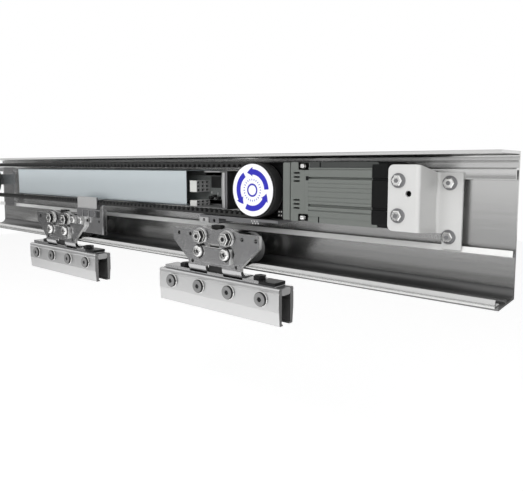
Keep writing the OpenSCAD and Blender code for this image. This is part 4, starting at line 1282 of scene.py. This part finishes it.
def socket_head(
    shape: Shape, x: float, d: float, z: float, r: float, tall: float, socket: float, deep: float, dark: int
) -> None:
    """Adds a round head with a hexagon socket that points off the wall.

    Args:
        shape: Shape that it is added to.
        x: Place along the beam.
        d: Depth of the face it sits on.
        z: Height.
        r: Radius of the head.
        tall: Height of the head.
        socket: Radius of the hexagon over its corners.
        deep: Depth of the socket.
        dark: Number of the finish of the socket's bottom, a painted shade.
    """
    base = tall - deep
    shape.lathe([(0, 0), (r, 0), (r, base), (0, base)], x, d, z, Run.DEPTH, 40)
    shape.prism(ring(x, z, r, 40), Run.DEPTH, d + base, d + tall, [ring(x, z, socket, 6)])
    old = shape.paint
    # Painted shade: the socket's bottom gets a dark finish.
    shape.paint = dark
    shape.lathe([(socket * 0.98, 0), (socket * 0.98, 0.06), (0, 0.06)], x, d + base, z, Run.DEPTH, 6)
    shape.paint = old


@dataclass
class BeltDrive:
    """Toothed belt, both pulleys, the printed disc and the idler end.

    Attributes:
        drive_x: Place of the drive pulley.
        idler_x: Place of the idler pulley.
        z: Height of both axes.
        pitch: Radius of the line on which the teeth are counted.
        outer: Outer radius of the belt.
        inner: Inner radius of the belt back.
        tooth: Height of the teeth.
        teeth: Number of teeth.
        d0: Inner edge of the belt off the wall.
        d1: Outer edge of the belt off the wall.
    """

    drive_x: float = 229.0
    idler_x: float = -430.0
    z: float = 26.0
    pitch: float = 29.0
    outer: float = 30.2
    inner: float = 27.8
    tooth: float = 3.2
    teeth: int = 188
    d0: float = 44.0
    d1: float = 56.0

    def _spot(self, run: float, r: float) -> Point:
        """Gives the point at a distance round the loop and a distance from its line."""
        span = self.drive_x - self.idler_x
        bend = math.pi * self.pitch
        if run < span:
            return (self.idler_x + run, self.z + r)
        run -= span
        if run < bend:
            a = math.pi / 2 - run / self.pitch
            return (self.drive_x + r * math.cos(a), self.z + r * math.sin(a))
        run -= bend
        if run < span:
            return (self.drive_x - run, self.z - r)
        a = -math.pi / 2 - (run - span) / self.pitch
        return (self.idler_x + r * math.cos(a), self.z + r * math.sin(a))

    def belt(self) -> None:
        """Makes the belt with all its teeth."""
        total = 2 * (self.drive_x - self.idler_x) + math.tau * self.pitch
        step = total / self.teeth
        back = arc(self.drive_x, self.z, self.outer, -90, 90, 48)
        back += arc(self.idler_x, self.z, self.outer, 90, 270, 48)
        inside = []
        for i in range(self.teeth):
            for share, deep in ((0.0, 0.0), (0.28, 0.0), (0.38, self.tooth), (0.72, self.tooth), (0.82, 0.0)):
                inside.append(self._spot((i + share) * step, self.inner - deep))
        shape = Shape("toothed_belt")
        shape.prism(back, Run.DEPTH, self.d0, self.d1, [inside])
        shape.piece("track", [RUBBER], ["belt"], edge=0)

    def pulley(self, name: str, x: float, bore: float, body: str, node: str) -> None:
        """Makes one toothed pulley with its flanges.

        Args:
            name: Name of the piece.
            x: Place of its axis.
            bore: Radius of its bore.
            body: Body that it rides on.
            node: CAD node that it stands for.
        """
        root = self.inner - self.tooth - 0.4
        count = 22
        crown = []
        for i in range(count):
            for share, r in ((0.0, root), (0.42, root), (0.5, root - 1.2), (0.92, root - 1.2)):
                a = (i + share) * math.tau / count
                crown.append((x + r * math.cos(a), self.z + r * math.sin(a)))
        hole = ring(x, self.z, bore, 32)
        web = [
            ring(x + 15.5 * math.cos(a), self.z + 15.5 * math.sin(a), 4.0, 20)
            for a in (math.radians(28.0 + 72.0 * i) for i in range(5))
        ]
        shape = Shape(name)
        shape.prism(crown, Run.DEPTH, self.d0 - 0.4, self.d1 + 0.4, [hole])
        shape.prism(ring(x, self.z, self.outer, 72), Run.DEPTH, self.d0 - 1.8, self.d0 - 0.4, [hole, *web])
        shape.prism(ring(x, self.z, self.inner, 72), Run.DEPTH, self.d1 + 0.4, self.d1 + 1.8, [hole, *web])
        shape.piece(body, [PULLEY_METAL], [node], edge=0.2, rounds=1)

    def disc(self) -> None:
        """Makes the printed disc on the drive pulley."""
        shape = Shape("pulley_disc")
        profile = [(0, 0), (28.0, 0), (28.3, 0.25), (28.3, 0.55), (28.0, 0.8), (0, 0.8)]
        shape.lathe(profile, self.drive_x, self.d1 + 1.8, self.z, Run.DEPTH, 96)
        shape.piece("drive_pulley", [DISC], ["pulley_label"], edge=0)

    def idler(self) -> None:
        """Finishes the idler end and makes its axle and tension screw."""
        dress("idler_bracket", ZINC, 0.6)
        dress("drive_shaft", BRIGHT_ZINC)
        axle = Shape("idler_axle_bolt")
        axle.lathe([(0, 0), (5, 0), (5, 43.2), (0, 43.2)], self.idler_x, 15.0, self.z, Run.DEPTH, 32)
        socket_head(axle, self.idler_x, 58.2, self.z, 7.5, 2.1, 3.0, 1.4, 1)
        axle.piece("track", [DULL_ZINC, BLACK_STEEL], ["idler_axle"], edge=0.2)
        screw = Shape("tension_screw_threaded")
        profile = [(0, 0), (2.8, 0)]
        for i in range(23):
            profile += [(2.8, 0.4 + i * 1.0), (2.4, 0.9 + i * 1.0)]
        profile += [(2.8, 23.6), (2.8, 28.1), (0, 28.1)]
        screw.lathe(profile, -477.5, 28.0, self.z, Run.ALONG, 24)
        head = [(0, 0), (5.2, 0), (5.2, 3.4), (4.4, 4.0), (0, 4.0)]
        screw.lathe(head, -477.5, 28.0, self.z, Run.ALONG, 6)
        screw.piece("track", [BRIGHT_ZINC], ["tension_screw"], edge=0)

    def build(self) -> None:
        """Makes the whole belt drive."""
        self.belt()
        self.pulley("drive_pulley_toothed", self.drive_x, 6.0, "drive_pulley", "drive_pulley")
        self.pulley("idler_pulley_toothed", self.idler_x, 5.05, "idler_pulley", "idler_pulley")
        self.disc()
        self.idler()


@dataclass
class Controller:
    """Cover, chassis, board and connectors.

    Attributes:
        x0: Left end of the cover.
        x1: Right end of the cover.
        x2: Right end of the chassis.
        top: Top of the cover.
        low: Bottom of the cover.
        back: Distance of its back from the wall.
        front: Distance of the cover front from the wall.
        open_front: Distance of the chassis front from the wall.
    """

    x0: float = -322.0
    x1: float = 112.0
    x2: float = 178.0
    top: float = 47.05
    low: float = 2.55
    back: float = 12.0
    front: float = 47.0
    open_front: float = 43.6

    def cover(self) -> None:
        """Makes the folded cover."""
        t = 1.2
        outer = [
            (self.back, self.top), *arc(self.front - 2, self.top - 2, 2, 90, 0, 5),
            *arc(self.front - 2, self.low + 2, 2, 0, -90, 5), (self.back, self.low),
        ]
        inner = [
            (self.back, self.low + t), *arc(self.front - 2, self.low + 2, 0.8, -90, 0, 3),
            *arc(self.front - 2, self.top - 2, 0.8, 0, 90, 3), (self.back, self.top - t),
        ]
        shape = Shape("controller_cover")
        shape.prism(outer + inner, Run.ALONG, self.x0, self.x1)
        end = rect(self.back, self.front - 1, self.low + 1, self.top - 1)
        shape.prism(soften(end, 1.0, 3), Run.ALONG, self.x0, self.x0 + t)
        shape.piece("track", [COVER_PAINT], ["cover"], edge=0.2)

    def chassis(self) -> None:
        """Makes the dark chassis with its end flange and bright folded lip."""
        floor = self.low - 1.5
        d1 = self.open_front
        high = self.top - 1.2
        shape = Shape("controller_chassis")
        shape.block(self.x0 + 1.2, self.x2, self.back, self.back + 1.5, self.low + 1.2, high)
        shape.block(self.x1 + 1.2, self.x2, self.back, self.back + 1.5, floor, high)
        shape.block(self.x1 + 1.2, self.x2, self.back, d1, floor, floor + 1.5)
        shape.block(self.x2 - 12, self.x2, self.back, d1, high - 1.5, high)
        for x in (-278.6, -105.0, 68.6):
            shape.block(x - 12, x + 12, 3.0, self.back, 16.5, 33.0)
        shape.piece("track", [BOARD_PLATE], ["chassis"], edge=0.25)
        end = Shape("chassis_end_flange")
        outline = soften(rect(self.back, d1, floor, high), 1.5, 3)
        end.prism(outline, Run.ALONG, self.x2 - 1.5, self.x2)
        end.paint = 1
        x = self.x2 - 4.3
        lip = [(x - 5.4, d1 - 1.4), *arc(x - 1.8, d1 - 1.6, 1.6, 90, 0, 6), (x - 0.2, d1 - 3.2)]
        lip += [(x - 1.6, d1 - 3.2), (x - 1.9, d1 - 2.6), (x - 5.4, d1 - 2.6)]
        end.prism(lip, Run.UP, floor + 1.6, high - 1.6)
        end.block(self.x2 - 38.0, x - 1.0, d1 - 2.2, d1 - 0.6, high - 1.4, high + 0.1)
        end.paint = 0
        end.block(x - 0.6, self.x2 - 1.0, d1 - 3.4, d1 - 1.8, floor + 1.6, high - 1.6)
        end.piece("track", [DARK_STEEL, CLAMP_METAL], edge=0.3)

    def board(self) -> None:
        """Makes the circuit board with its window and small parts."""
        shape = Shape("circuit_board_populated")
        shape.block(self.x0 + 12, self.x2 - 24, 20.4, 22.0, 9.6, 40.0)
        for x in (-278.6, -170.1, -39.9, 68.6):
            shape.block(x, x + 3.2, 13.5, 20.4, 26.0, 29.2)
        shape.paint = 1
        for x, z, r, tall in ((60.0, 18.0, 7.0, 18.0), (-60.0, 20.0, 8.0, 18.0)):
            can = [(0, 0), (r, 0), (r, tall - 0.6), (r - 0.6, tall), (0, tall)]
            shape.lathe(can, x, 22.0, z, Run.DEPTH, 24)
        for x in (-200.0, -140.0, 0.0, 30.0):
            shape.block(x, x + 18, 22.0, 36.0, 14.0, 30.0)
        shape.block(131.2, 148.1, 22.0, 22.4, 24.8, 39.2)
        for x, z, r in ((133.0, 12.6, 2.4), (139.2, 14.8, 1.8), (146.0, 12.4, 2.2)):
            shape.lathe([(0, 0), (r, 0), (r, 5.0), (r - 0.4, 5.4), (0, 5.4)], x, 22.0, z, Run.DEPTH, 20)
        shape.paint = 2
        for x, z in ((131.6, 17.6), (136.4, 11.4), (142.6, 16.6), (149.4, 16.0)):
            shape.block(x, x + 1.6, 22.0, 23.2, z, z + 2.6)
        shape.block(151.0, 151.8, 22.0, 25.0, 11.0, 38.0)
        shape.piece("track", [BOARD, BLACK_NYLON, CLIP_GREY], ["circuit_board"], edge=0.2)

    def connector(self, shape: Shape, z0: float, tall: float, rows: int) -> None:
        """Adds one connector with square wire holes at its end, with painted shade on the end and the hole
        walls and a black sheet as painted shade at the holes' bottom.

        Args:
            shape: Shape that it is added to.
            z0: Its bottom.
            tall: Its height.
            rows: Rows of holes.
        """
        x, d0, d1 = 116.0, 22.0, 44.6
        shape.paint = 0
        shape.block(x, x + 9, d0, d1, z0, z0 + tall)
        start = len(shape.bm.faces)
        # Painted shade: the end face and the hole walls get a darker nylon.
        shape.paint = 1
        holes = []
        for i in range(3):
            for j in range(rows):
                cd = d1 - (i + 0.5) * (d1 - d0) / 3
                cz = z0 + (j + 0.5) * tall / rows
                holes.append(rect(cd - 2.3, cd + 2.3, cz - tall / rows * 0.28, cz + tall / rows * 0.28))
        shape.prism(rect(d0, d1, z0, z0 + tall), Run.ALONG, x + 9, x + 12, holes)
        shape.repaint(0, lambda spot, side: side.y < -0.8 and -spot.y > d1 - 0.1, start)
        # Painted shade: a black sheet at the bottom of the wire holes.
        shape.paint = 2
        shape.prism(rect(d0 + 1, d1 - 1, z0 + 0.7, z0 + tall - 0.7), Run.ALONG, x + 9, x + 9.3)

    def build(self) -> None:
        """Makes the whole controller."""
        self.cover()
        self.chassis()
        self.board()
        plugs = Shape("wire_connectors")
        self.connector(plugs, 20.0, 14.0, 3)
        self.connector(plugs, 2.6, 7.0, 2)
        plugs.piece("track", [NYLON, NYLON_END_PAINTED_SHADE, BLACK_NYLON], ["connectors"], edge=0.2)
        screws = Shape("chassis_screw_heads")
        head = [(0, -8.5), (1.3, -8.5), (1.3, 0), (3.0, 0), (2.6, 1.8), (1.4, 2.6), (0, 2.8)]
        for x, z in ((128.5, 38.15), (168.1, 38.15), (158.2, 13.7)):
            screws.lathe(head, x, 13.5, z, Run.DEPTH, 24)
        screws.piece("track", [BRIGHT_ZINC], ["chassis_screws"], edge=0.1)


@dataclass
class Hanger:
    """One hanger with its wheels and glass clamp.

    Attributes:
        side: Name of the side, left or right.
        x: Middle of the hanger.
        nut_z: Height of the upper nuts.
        head_z: Height of the round heads.
        wheel_z: Height of the wheel axes.
        gap: Half the distance of the two wheels.
        foot_z: Lowest face of the feet.
        roll: Outer radius of the bend above the feet.
        bar_top: Top of the bar.
        bar_low: Bottom of the bar.
        clamp_top: Top of the clamp.
        clamp_d: Middle of the clamp off the wall.
    """

    side: str
    x: float
    nut_z: float = -29.0
    head_z: float = -46.5
    wheel_z: float = -43.5
    gap: float = 21.0
    foot_z: float = -73.2
    roll: float = 9.0
    bar_top: float = -70.7
    bar_low: float = -74.2
    clamp_top: float = -75.4
    clamp_d: float = 54.0

    def _name(self, part: str) -> str:
        """Gives the name of a piece of this hanger."""
        return f"{self.side}_{part}"

    def _body(self) -> str:
        """Gives the name of the hanger's body."""
        return f"{self.side}_hanger"

    def plate(self) -> None:
        """Makes the steel plate with its bent feet."""
        x, n, g = self.x, self.nut_z, self.gap
        wing = n + 6.8
        bend = self.foot_z + self.roll
        sketch = [
            (-68, wing - 14), (-68, wing), (-g - 14.1, wing), *arc(-g, n, 12, 122, 60, 8), (-1.5, n + 8.1),
            (1.5, n + 8.1), *arc(g, n, 12, 120, 46, 8), (g + 11.4, n + 8.7), (g + 16.2, wing), (68, wing),
            (68, wing - 14), (42, wing - 37), (42, bend), (13, bend), (13, bend + 2), (-13, bend + 2),
            (-13, bend), (-42, bend), (-42, wing - 37),
        ]
        outline = [(x + a, b) for a, b in soften(sketch, 1.4, 3)]
        window = (n + self.head_z) / 2 + 1
        spots = [(x + s * 34.9, self.foot_z + 13.5) for s in (-1, 1)]
        spots += [(x + a, n + 1) for a in (-57.8, -38.1, 43.5, 63.2)]
        holes = [ring(a, b, 2.3, 20) for a, b in spots]
        holes.append([(x + a, b) for a, b in soften(rect(-9, 9, window - 8, window), 1.0, 3)])
        shape = Shape(self._name("plate_bent"))
        shape.prism(outline, Run.DEPTH, 62.0, 66.0, holes)
        roll = window - 1.2
        lip = [
            (62.0, window), *arc(60.2, roll, 2.4, 60, -60, 6), (60.0, window - 3.0),
            *arc(59.2, roll, 1.2, -60, 60, 5), (61.0, window + 0.6),
        ]
        # Painted highlight: the rolled lip over the window gets the bright rim finish.
        shape.paint = 1
        shape.prism(lip, Run.ALONG, x - 8.4, x + 8.4)
        shape.paint = 0
        foot = [
            *arc(66.0 - self.roll, bend, self.roll, 0, -90, 10), (45.0, self.foot_z),
            (45.0, self.foot_z + 3), *arc(66.0 - self.roll, bend, self.roll - 4.0, -90, 0, 5),
        ]
        for a in (-42, 13):
            shape.prism(foot, Run.ALONG, x + a, x + a + 29)
        low = self.foot_z + self.roll
        # Painted highlight on the plate's edges above the bends; the hole walls are set back below.
        shape.repaint(1, lambda spot, side: abs(side.y) < 0.2 and spot.z > low)
        for a, b in spots:
            shape.repaint(0, lambda spot, side: math.hypot(spot.x - a, spot.z - b) < 3.0)
        shape.piece(self._body(), [ZINC, ZINC_RIM_PAINTED_HIGHLIGHT], [self._name("plate")], edge=0.35)

    def strap(self) -> None:
        """Makes the strap under the round heads."""
        x, z = self.x, self.head_z
        holes = [
            soften(rect(x + s * self.gap - 2.6, x + s * self.gap + 2.6, z - 9.6, z - 7.2), 1.1, 3)
            for s in (-1, 1)
        ]
        shape = Shape(self._name("strap_plate"))
        shape.prism(soften(rect(x - 27, x + 27, z - 12, z + 6), 2.4, 4), Run.DEPTH, 66.0, 69.0, holes)
        # Painted highlight on the strap's edges.
        shape.repaint(1, lambda spot, side: abs(side.y) < 0.2)
        shape.piece(self._body(), [ZINC, ZINC_RIM_PAINTED_HIGHLIGHT], [self._name("strap")], edge=0.5)

    def axles(self) -> None:
        """Makes the eccentric axle bolts."""
        shape = Shape(self._name("axle_bolts"))
        for s in (-1, 1):
            px = self.x + s * self.gap
            dome = [(7.0, 0), (7.0, 1.2), *arc(3.4, 1.4, 3.6, -5, 62, 6)[1:], (3.2, 4.5), (3.1, 2.2)]
            shape.lathe([(0, 0), *dome, (0, 2.2)], px, 69.0, self.head_z, Run.DEPTH, 40)
            shape.paint = 1
            shape.lathe([(0, 0), (8.2, 0), (8.2, 0.4), (0, 0.4)], px, 69.0, self.head_z, Run.DEPTH, 40)
            # Painted shade: a flat black hexagon at the bottom of the head's hollow.
            shape.lathe([(3.0, 2.2), (3.0, 2.3), (0, 2.3)], px, 69.0, self.head_z, Run.DEPTH, 6)
            shape.paint = 0
            shape.lathe([(0, 0), (4, 0), (4, 11), (0, 11)], px, 58.0, self.head_z, Run.DEPTH, 32)
            stem = [(0, 0), (7.5, 0), (7.5, 2.4), (5, 2.4), (5, 40.1), (0, 40.1)]
            shape.lathe(stem, px, 17.5, self.wheel_z, Run.DEPTH, 32)
            middle = (self.wheel_z + self.head_z) / 2
            shape.lathe([(0, 0), (7.5, 0), (7.5, 6), (0, 6)], px, 56.0, middle, Run.DEPTH, 32)
        shape.piece(self._body(), [BRIGHT_ZINC, BLACK_STEEL], [self._name("axles")], edge=0.3)

    def nuts(self) -> None:
        """Makes the upper nuts with washers and stud ends, with black flats and black stud-end hexagons as
        painted shade.
        """
        shape = Shape(self._name("stud_nuts"))
        for s in (-1, 1):
            px, z = self.x + s * self.gap, self.nut_z
            washer = [(4.2, 0), (9.5, 0), (9.5, 1.3), (9.2, 1.6), (4.2, 1.6)]
            shape.lathe(washer, px, 66.0, z, Run.DEPTH, 40)
            start = len(shape.bm.faces)
            body = [(0, 0), (6.9, 0), (7.5, 0.5), (7.5, 5.4), (6.9, 6.0), (4.2, 6.0), (3.9, 5.4), (0, 5.4)]
            shape.lathe(body, px, 67.6, z, Run.DEPTH, 6)
            # Painted shade: the nut's flats are black while its face stays bright.
            shape.repaint(1, lambda spot, side: abs(side.y) < 0.2, start)
            shape.lathe([(0, 0), (4.0, 0), (4.0, 10.9), (3.4, 11.4), (0, 11.4)], px, 62.0, z, Run.DEPTH, 28)
            # Painted shade: a flat black hexagon on the stud end stands in for a shaded socket.
            shape.paint = 1
            shape.lathe([(2.6, 0), (2.6, 0.1), (0, 0.1)], px, 73.38, z, Run.DEPTH, 6)
            shape.paint = 0
        shape.piece(self._body(), [BRIGHT_ZINC, BLACK_STEEL], [self._name("nuts")], edge=0.3)

    def lift_block(self) -> None:
        """Makes the black block behind the plate."""
        x, z1 = self.x, self.nut_z + 4.33
        shape = Shape(self._name("lift_stop"))
        shape.prism(soften(rect(x - 30, x + 30, z1 - 9.1, z1), 2, 4), Run.DEPTH, 35.1, 58.0)
        for s in (-1, 1):
            stud = [(0, 0), (6, 0), (6, 4), (0, 4)]
            shape.lathe(stud, x + s * self.gap, 58.0, self.nut_z, Run.DEPTH, 32)
        shape.prism(soften(rect(x - 5, x + 5, -31.0, -27.5), 0.8, 3), Run.DEPTH, 5.0, 35.1)
        shape.prism(soften(rect(x - 12, x + 3, z1 - 1, -16.6), 1.0, 3), Run.DEPTH, 50.0, 57.0)
        pad = rect(x - 12.4, x + 12.4, self.bar_top + 0.4, self.foot_z + self.roll + 6.0)
        shape.prism(soften(pad, 1.0, 3), Run.DEPTH, 57.2, 61.7)
        shape.piece(self._body(), [BLACK_NYLON], [self._name("block")], edge=0.5)

    def bar(self) -> None:
        """Makes the bar under the feet and its black bolts."""
        x, low, top = self.x, self.bar_low, self.bar_top
        shape = Shape(self._name("clamp_bar"))
        pocket = [(12.8, top), (12.8, self.foot_z), (42.2, self.foot_z), (42.2, top)]
        mirrored = [(-a, b) for a, b in reversed(pocket)]
        outline = [(-87, low), (-87, top), *mirrored, *pocket, (65, top), (65, low)]
        shape.prism([(x + a, b) for a, b in outline], Run.DEPTH, 44.0, 64.0)
        shape.paint = 1
        shape.prism(soften(rect(x + 65, x + 87, 44.0, 64.0), 1.5, 3), Run.UP, low, top)
        shape.piece(self._body(), [ZINC, BLACK_STEEL], [self._name("bar")], edge=0.3)
        bolts = Shape(self._name("hex_bolts_black"))
        head = [(0, 0), (7.5, 0), (7.5, 3.3), (6.7, 4.0), (3.6, 4.0), (3.3, 3.6), (0, 3.6)]
        for s in (-1, 1):
            px = x + s * 59
            bolts.lathe(head, px, 54.0, top, Run.UP, 6)
            bolts.lathe([(0, -11), (4, -11), (4, 0), (0, 0)], px, 54.0, top, Run.UP, 28)
        bolts.piece(self._body(), [BLACK_STEEL], [self._name("black_bolts")], edge=0.3)

    def jaw_outline(self, sign: float) -> List[Point]:
        """Gives a jaw's cross-section in depth and height.

        Args:
            sign: 1 for the front jaw, -1 for the back jaw.

        Returns:
            The points.
        """
        t, b, m = self.clamp_top, self.clamp_top - 40, self.clamp_d
        half, inner, lip = 13.0, 7.6, 5.5
        sketch = [
            (inner, t), (half - 1.6, t), (half - 0.2, t - 1.4), (half, t - 4.2), (half - 0.7, t - 4.7),
            (half - 0.7, t - 5.3), (half, t - 5.8), (half, b + 15.4), (half - 0.4, b + 15),
            (half - 1.6, b), (lip, b), (lip, b + 1.6), (inner, b + 1.6),
        ]
        return [(m + sign * a, z) for a, z in sketch]

    def clamp(self) -> None:
        """Makes the clamp with its bolts and liners."""
        x0, x1 = self.x - 95, self.x + 95
        for sign, part in ((1.0, "jaw_front"), (-1.0, "jaw_back")):
            shape = Shape(self._name(part + "_extrusion"))
            shape.prism(self.jaw_outline(sign), Run.ALONG, x0, x1)
            start = sign * 0.5
            shape.repaint(1, lambda spot, side: abs(side.x) > 0.8)
            shape.repaint(2, lambda spot, side: side.y * start > 0.3)
            finishes = [CLAMP_METAL, DULL_ZINC, LINER]
            shape.piece(self._body(), finishes, [self._name(part)], edge=0.3)
        m, t = self.clamp_d, self.clamp_top
        inside = Shape(self._name("spacer_bar"))
        profile = soften(rect(m - 7.6, m + 7.6, t - 8, t), 3, 5)
        inside.prism(profile, Run.ALONG, x0, x1)
        inside.block(self.x - 87, self.x + 87, m - 9.1, m + 9.1, t, self.bar_low)
        inside.repaint(1, lambda spot, side: abs(side.x) > 0.8)
        inside.piece(self._body(), [DARK_STEEL, CLIP_GREY], [self._name("spacer")], edge=0.3)
        liner = Shape(self._name("liner_strips"))
        for s in (-1, 1):
            mid = m + s * 7.1
            liner.block(x0 + 1, x1 - 1, mid - 0.5, mid + 0.5, t - 38.4, t - 14.4)
        liner.piece(self._body(), [LINER], [self._name("liners")], edge=0.2)
        bolts = Shape(self._name("clamp_socket_bolts"))
        for k in (-1.5, -0.5, 0.5, 1.5):
            px, z = self.x + k * 47.4, t - 13.5
            # Painted highlight: a bright ring under each head.
            bolts.paint = 2
            under = [(0, 0), (8.4, 0), (8.4, 0.3), (8.0, 0.7), (0, 0.7)]
            bolts.lathe(under, px, m + 13, z, Run.DEPTH, 40)
            # Painted shade: the side of each head is black while its face is dull zinc.
            bolts.paint = 3
            side = [(0, 0.7), (7.6, 0.7), (7.8, 1.0), (7.8, 2.5), (7.4, 2.8), (0, 2.8)]
            bolts.lathe(side, px, m + 13, z, Run.DEPTH, 40)
            bolts.paint = 0
            socket_head(bolts, px, m + 15.6, z, 7.2, 0.8, 3.0, 0.7, 1)
            bolts.lathe([(0, 0), (4, 0), (4, 23.3), (0, 23.3)], px, m - 10.3, z, Run.DEPTH, 28)
        finishes = [DULL_ZINC, BLACK_STEEL, BRIGHT_ZINC, BLACK_STEEL]
        bolts.piece(self._body(), finishes, [self._name("clamp_bolts")], edge=0.4)

    def wheels(self) -> None:
        """Makes the two grooved wheels with their bearings."""
        tread = [
            (18.5 - 3.3 * math.sin(math.radians(a)), -4.2 + 1.8 * (1 - math.cos(math.radians(a))))
            for a in (30, 60, 90)
        ]
        half = [
            (9.0, -6.0), (9.6, -5.2), (11.6, -5.2), (11.8, -4.8), (12.6, -4.8), (12.8, -5.2), (15.4, -5.2),
            (16.0, -6.0), (18.1, -6.0), (18.5, -5.6), (18.5, -4.4), *tread,
        ]
        profile = half + [(r, -h) for r, h in reversed(half)]
        race = [
            (5.05, -6.6), (6.4, -6.6), (6.6, -6.2), (7.8, -6.2), (8.0, -6.6), (9.0, -6.6), (9.0, 6.6),
            (8.0, 6.6), (7.8, 6.2), (6.6, 6.2), (6.4, 6.6), (5.05, 6.6), (5.05, -6.6),
        ]
        for s, part in ((-1, "wheel_a"), (1, "wheel_b")):
            px = self.x + s * self.gap
            shape = Shape(self._name(part + "_grooved"))
            shape.lathe([*profile, profile[0]], px, 27.0, self.wheel_z, Run.DEPTH, 56)
            shape.paint = 1
            shape.lathe(race, px, 27.0, self.wheel_z, Run.DEPTH, 40)
            finishes = [GREY_NYLON, BRIGHT_ZINC]
            shape.piece(self._name(part), finishes, [self._name(part)], edge=0.2, rounds=1)

    def build(self) -> None:
        """Makes the whole hanger."""
        self.plate()
        self.strap()
        self.axles()
        self.nuts()
        self.lift_block()
        self.bar()
        self.clamp()
        self.wheels()


@dataclass
class BeltClip:
    """Clip that joins the left hanger to the lower belt run.

    Attributes:
        x0: Left end of the plate.
        x1: Right end of the plate.
        low: Bottom of the plate.
        top: Top of the plate.
        jaw0: Left end of the clip block.
        jaw1: Right end of the clip block.
    """

    x0: float = -122.0
    x1: float = -42.0
    low: float = -45.8
    top: float = -23.8
    jaw0: float = -115.2
    jaw1: float = -65.2

    def plate(self) -> None:
        """Makes the clip plate with its end flange and windows."""
        shape = Shape("clip_plate_bent")
        tab = self.top + 12.4
        left = self.x1 - 57.6
        outline = [
            (self.x0, self.low), (self.x1, self.low), (self.x1, tab), (left, tab), (left, self.top),
            (self.x0, self.top),
        ]
        holes = [ring(self.x0 + a, -28.0, 2.3, 20) for a in (36.0, 65.6)]
        holes += [ring(a, -28.0, 2.3, 20) for a in (-112.48, -92.76)]
        for i in range(3):
            a = self.x1 - 56 + i * 16
            holes.append(soften(rect(a, a + 12.5, self.top + 1.6, tab - 1.6), 1.2, 3))
        shape.prism(soften(outline, 0.8, 2), Run.DEPTH, 60.4, 62.0, holes)
        side = rect(57.8, 64.6, self.low, self.top + 20)
        shape.prism(soften(side, 0.8, 2), Run.ALONG, self.x1 - 1.6, self.x1)
        shape.piece("left_hanger", [ZINC], ["clip_plate"], edge=0.3)

    def block(self) -> None:
        """Makes the clip block, open towards the belt, with painted shade on its lower body and its
        right-hand end faces.
        """
        profile = [
            (41.4, -7.2), (53.4, -7.2), (53.4, -22.2), (60.4, -22.2), (60.4, -9.8), (59.0, -9.8),
            (59.0, 6.5), (56.4, 6.5), (56.4, 3.1), (47.5, 3.1), (47.5, 1.8), (56.4, 1.8),
            (56.4, -4.6), (41.4, -4.6),
        ]
        shape = Shape("belt_clip_block")
        shape.prism(profile, Run.ALONG, self.jaw0, self.jaw1)
        # Painted shade: the lower body, seen through the plate's windows, and the end faces towards the motor
        # get a dark finish.
        shape.repaint(1, lambda spot, side: spot.z < -9.9 or side.x > 0.8)
        shape.piece("left_hanger", [CLIP_GREY, DARK_STEEL], ["clip_block"], edge=0.3)

    def build(self) -> None:
        """Makes the clip."""
        self.plate()
        self.block()
        bolts = Shape("clip_hex_bolts")
        for x in (-112.48, -92.76):
            hex_bolt(bolts, x, 66.0, -28.0)
            bolts.lathe([(0, 0), (2.1, 0), (2.1, 5.6), (0, 5.6)], x, 60.4, -28.0, Run.DEPTH, 20)
        bolts.piece("left_hanger", [BRIGHT_ZINC, DULL_ZINC], ["clip_screws"], edge=0.15)


def main() -> None:
    """Builds the studio and every sub-assembly in order."""
    logging.basicConfig(level=logging.INFO, format="%(name)s: %(message)s")
    Studio().build()
    Beam().build()
    DriveUnit().build()
    MotorBracket().build()
    BeltDrive().build()
    Controller().build()
    for side, x in (("left", -156.0), ("right", 177.0)):
        Hanger(side, x).build()
    BeltClip().build()


if __name__ == "__main__":
    main()
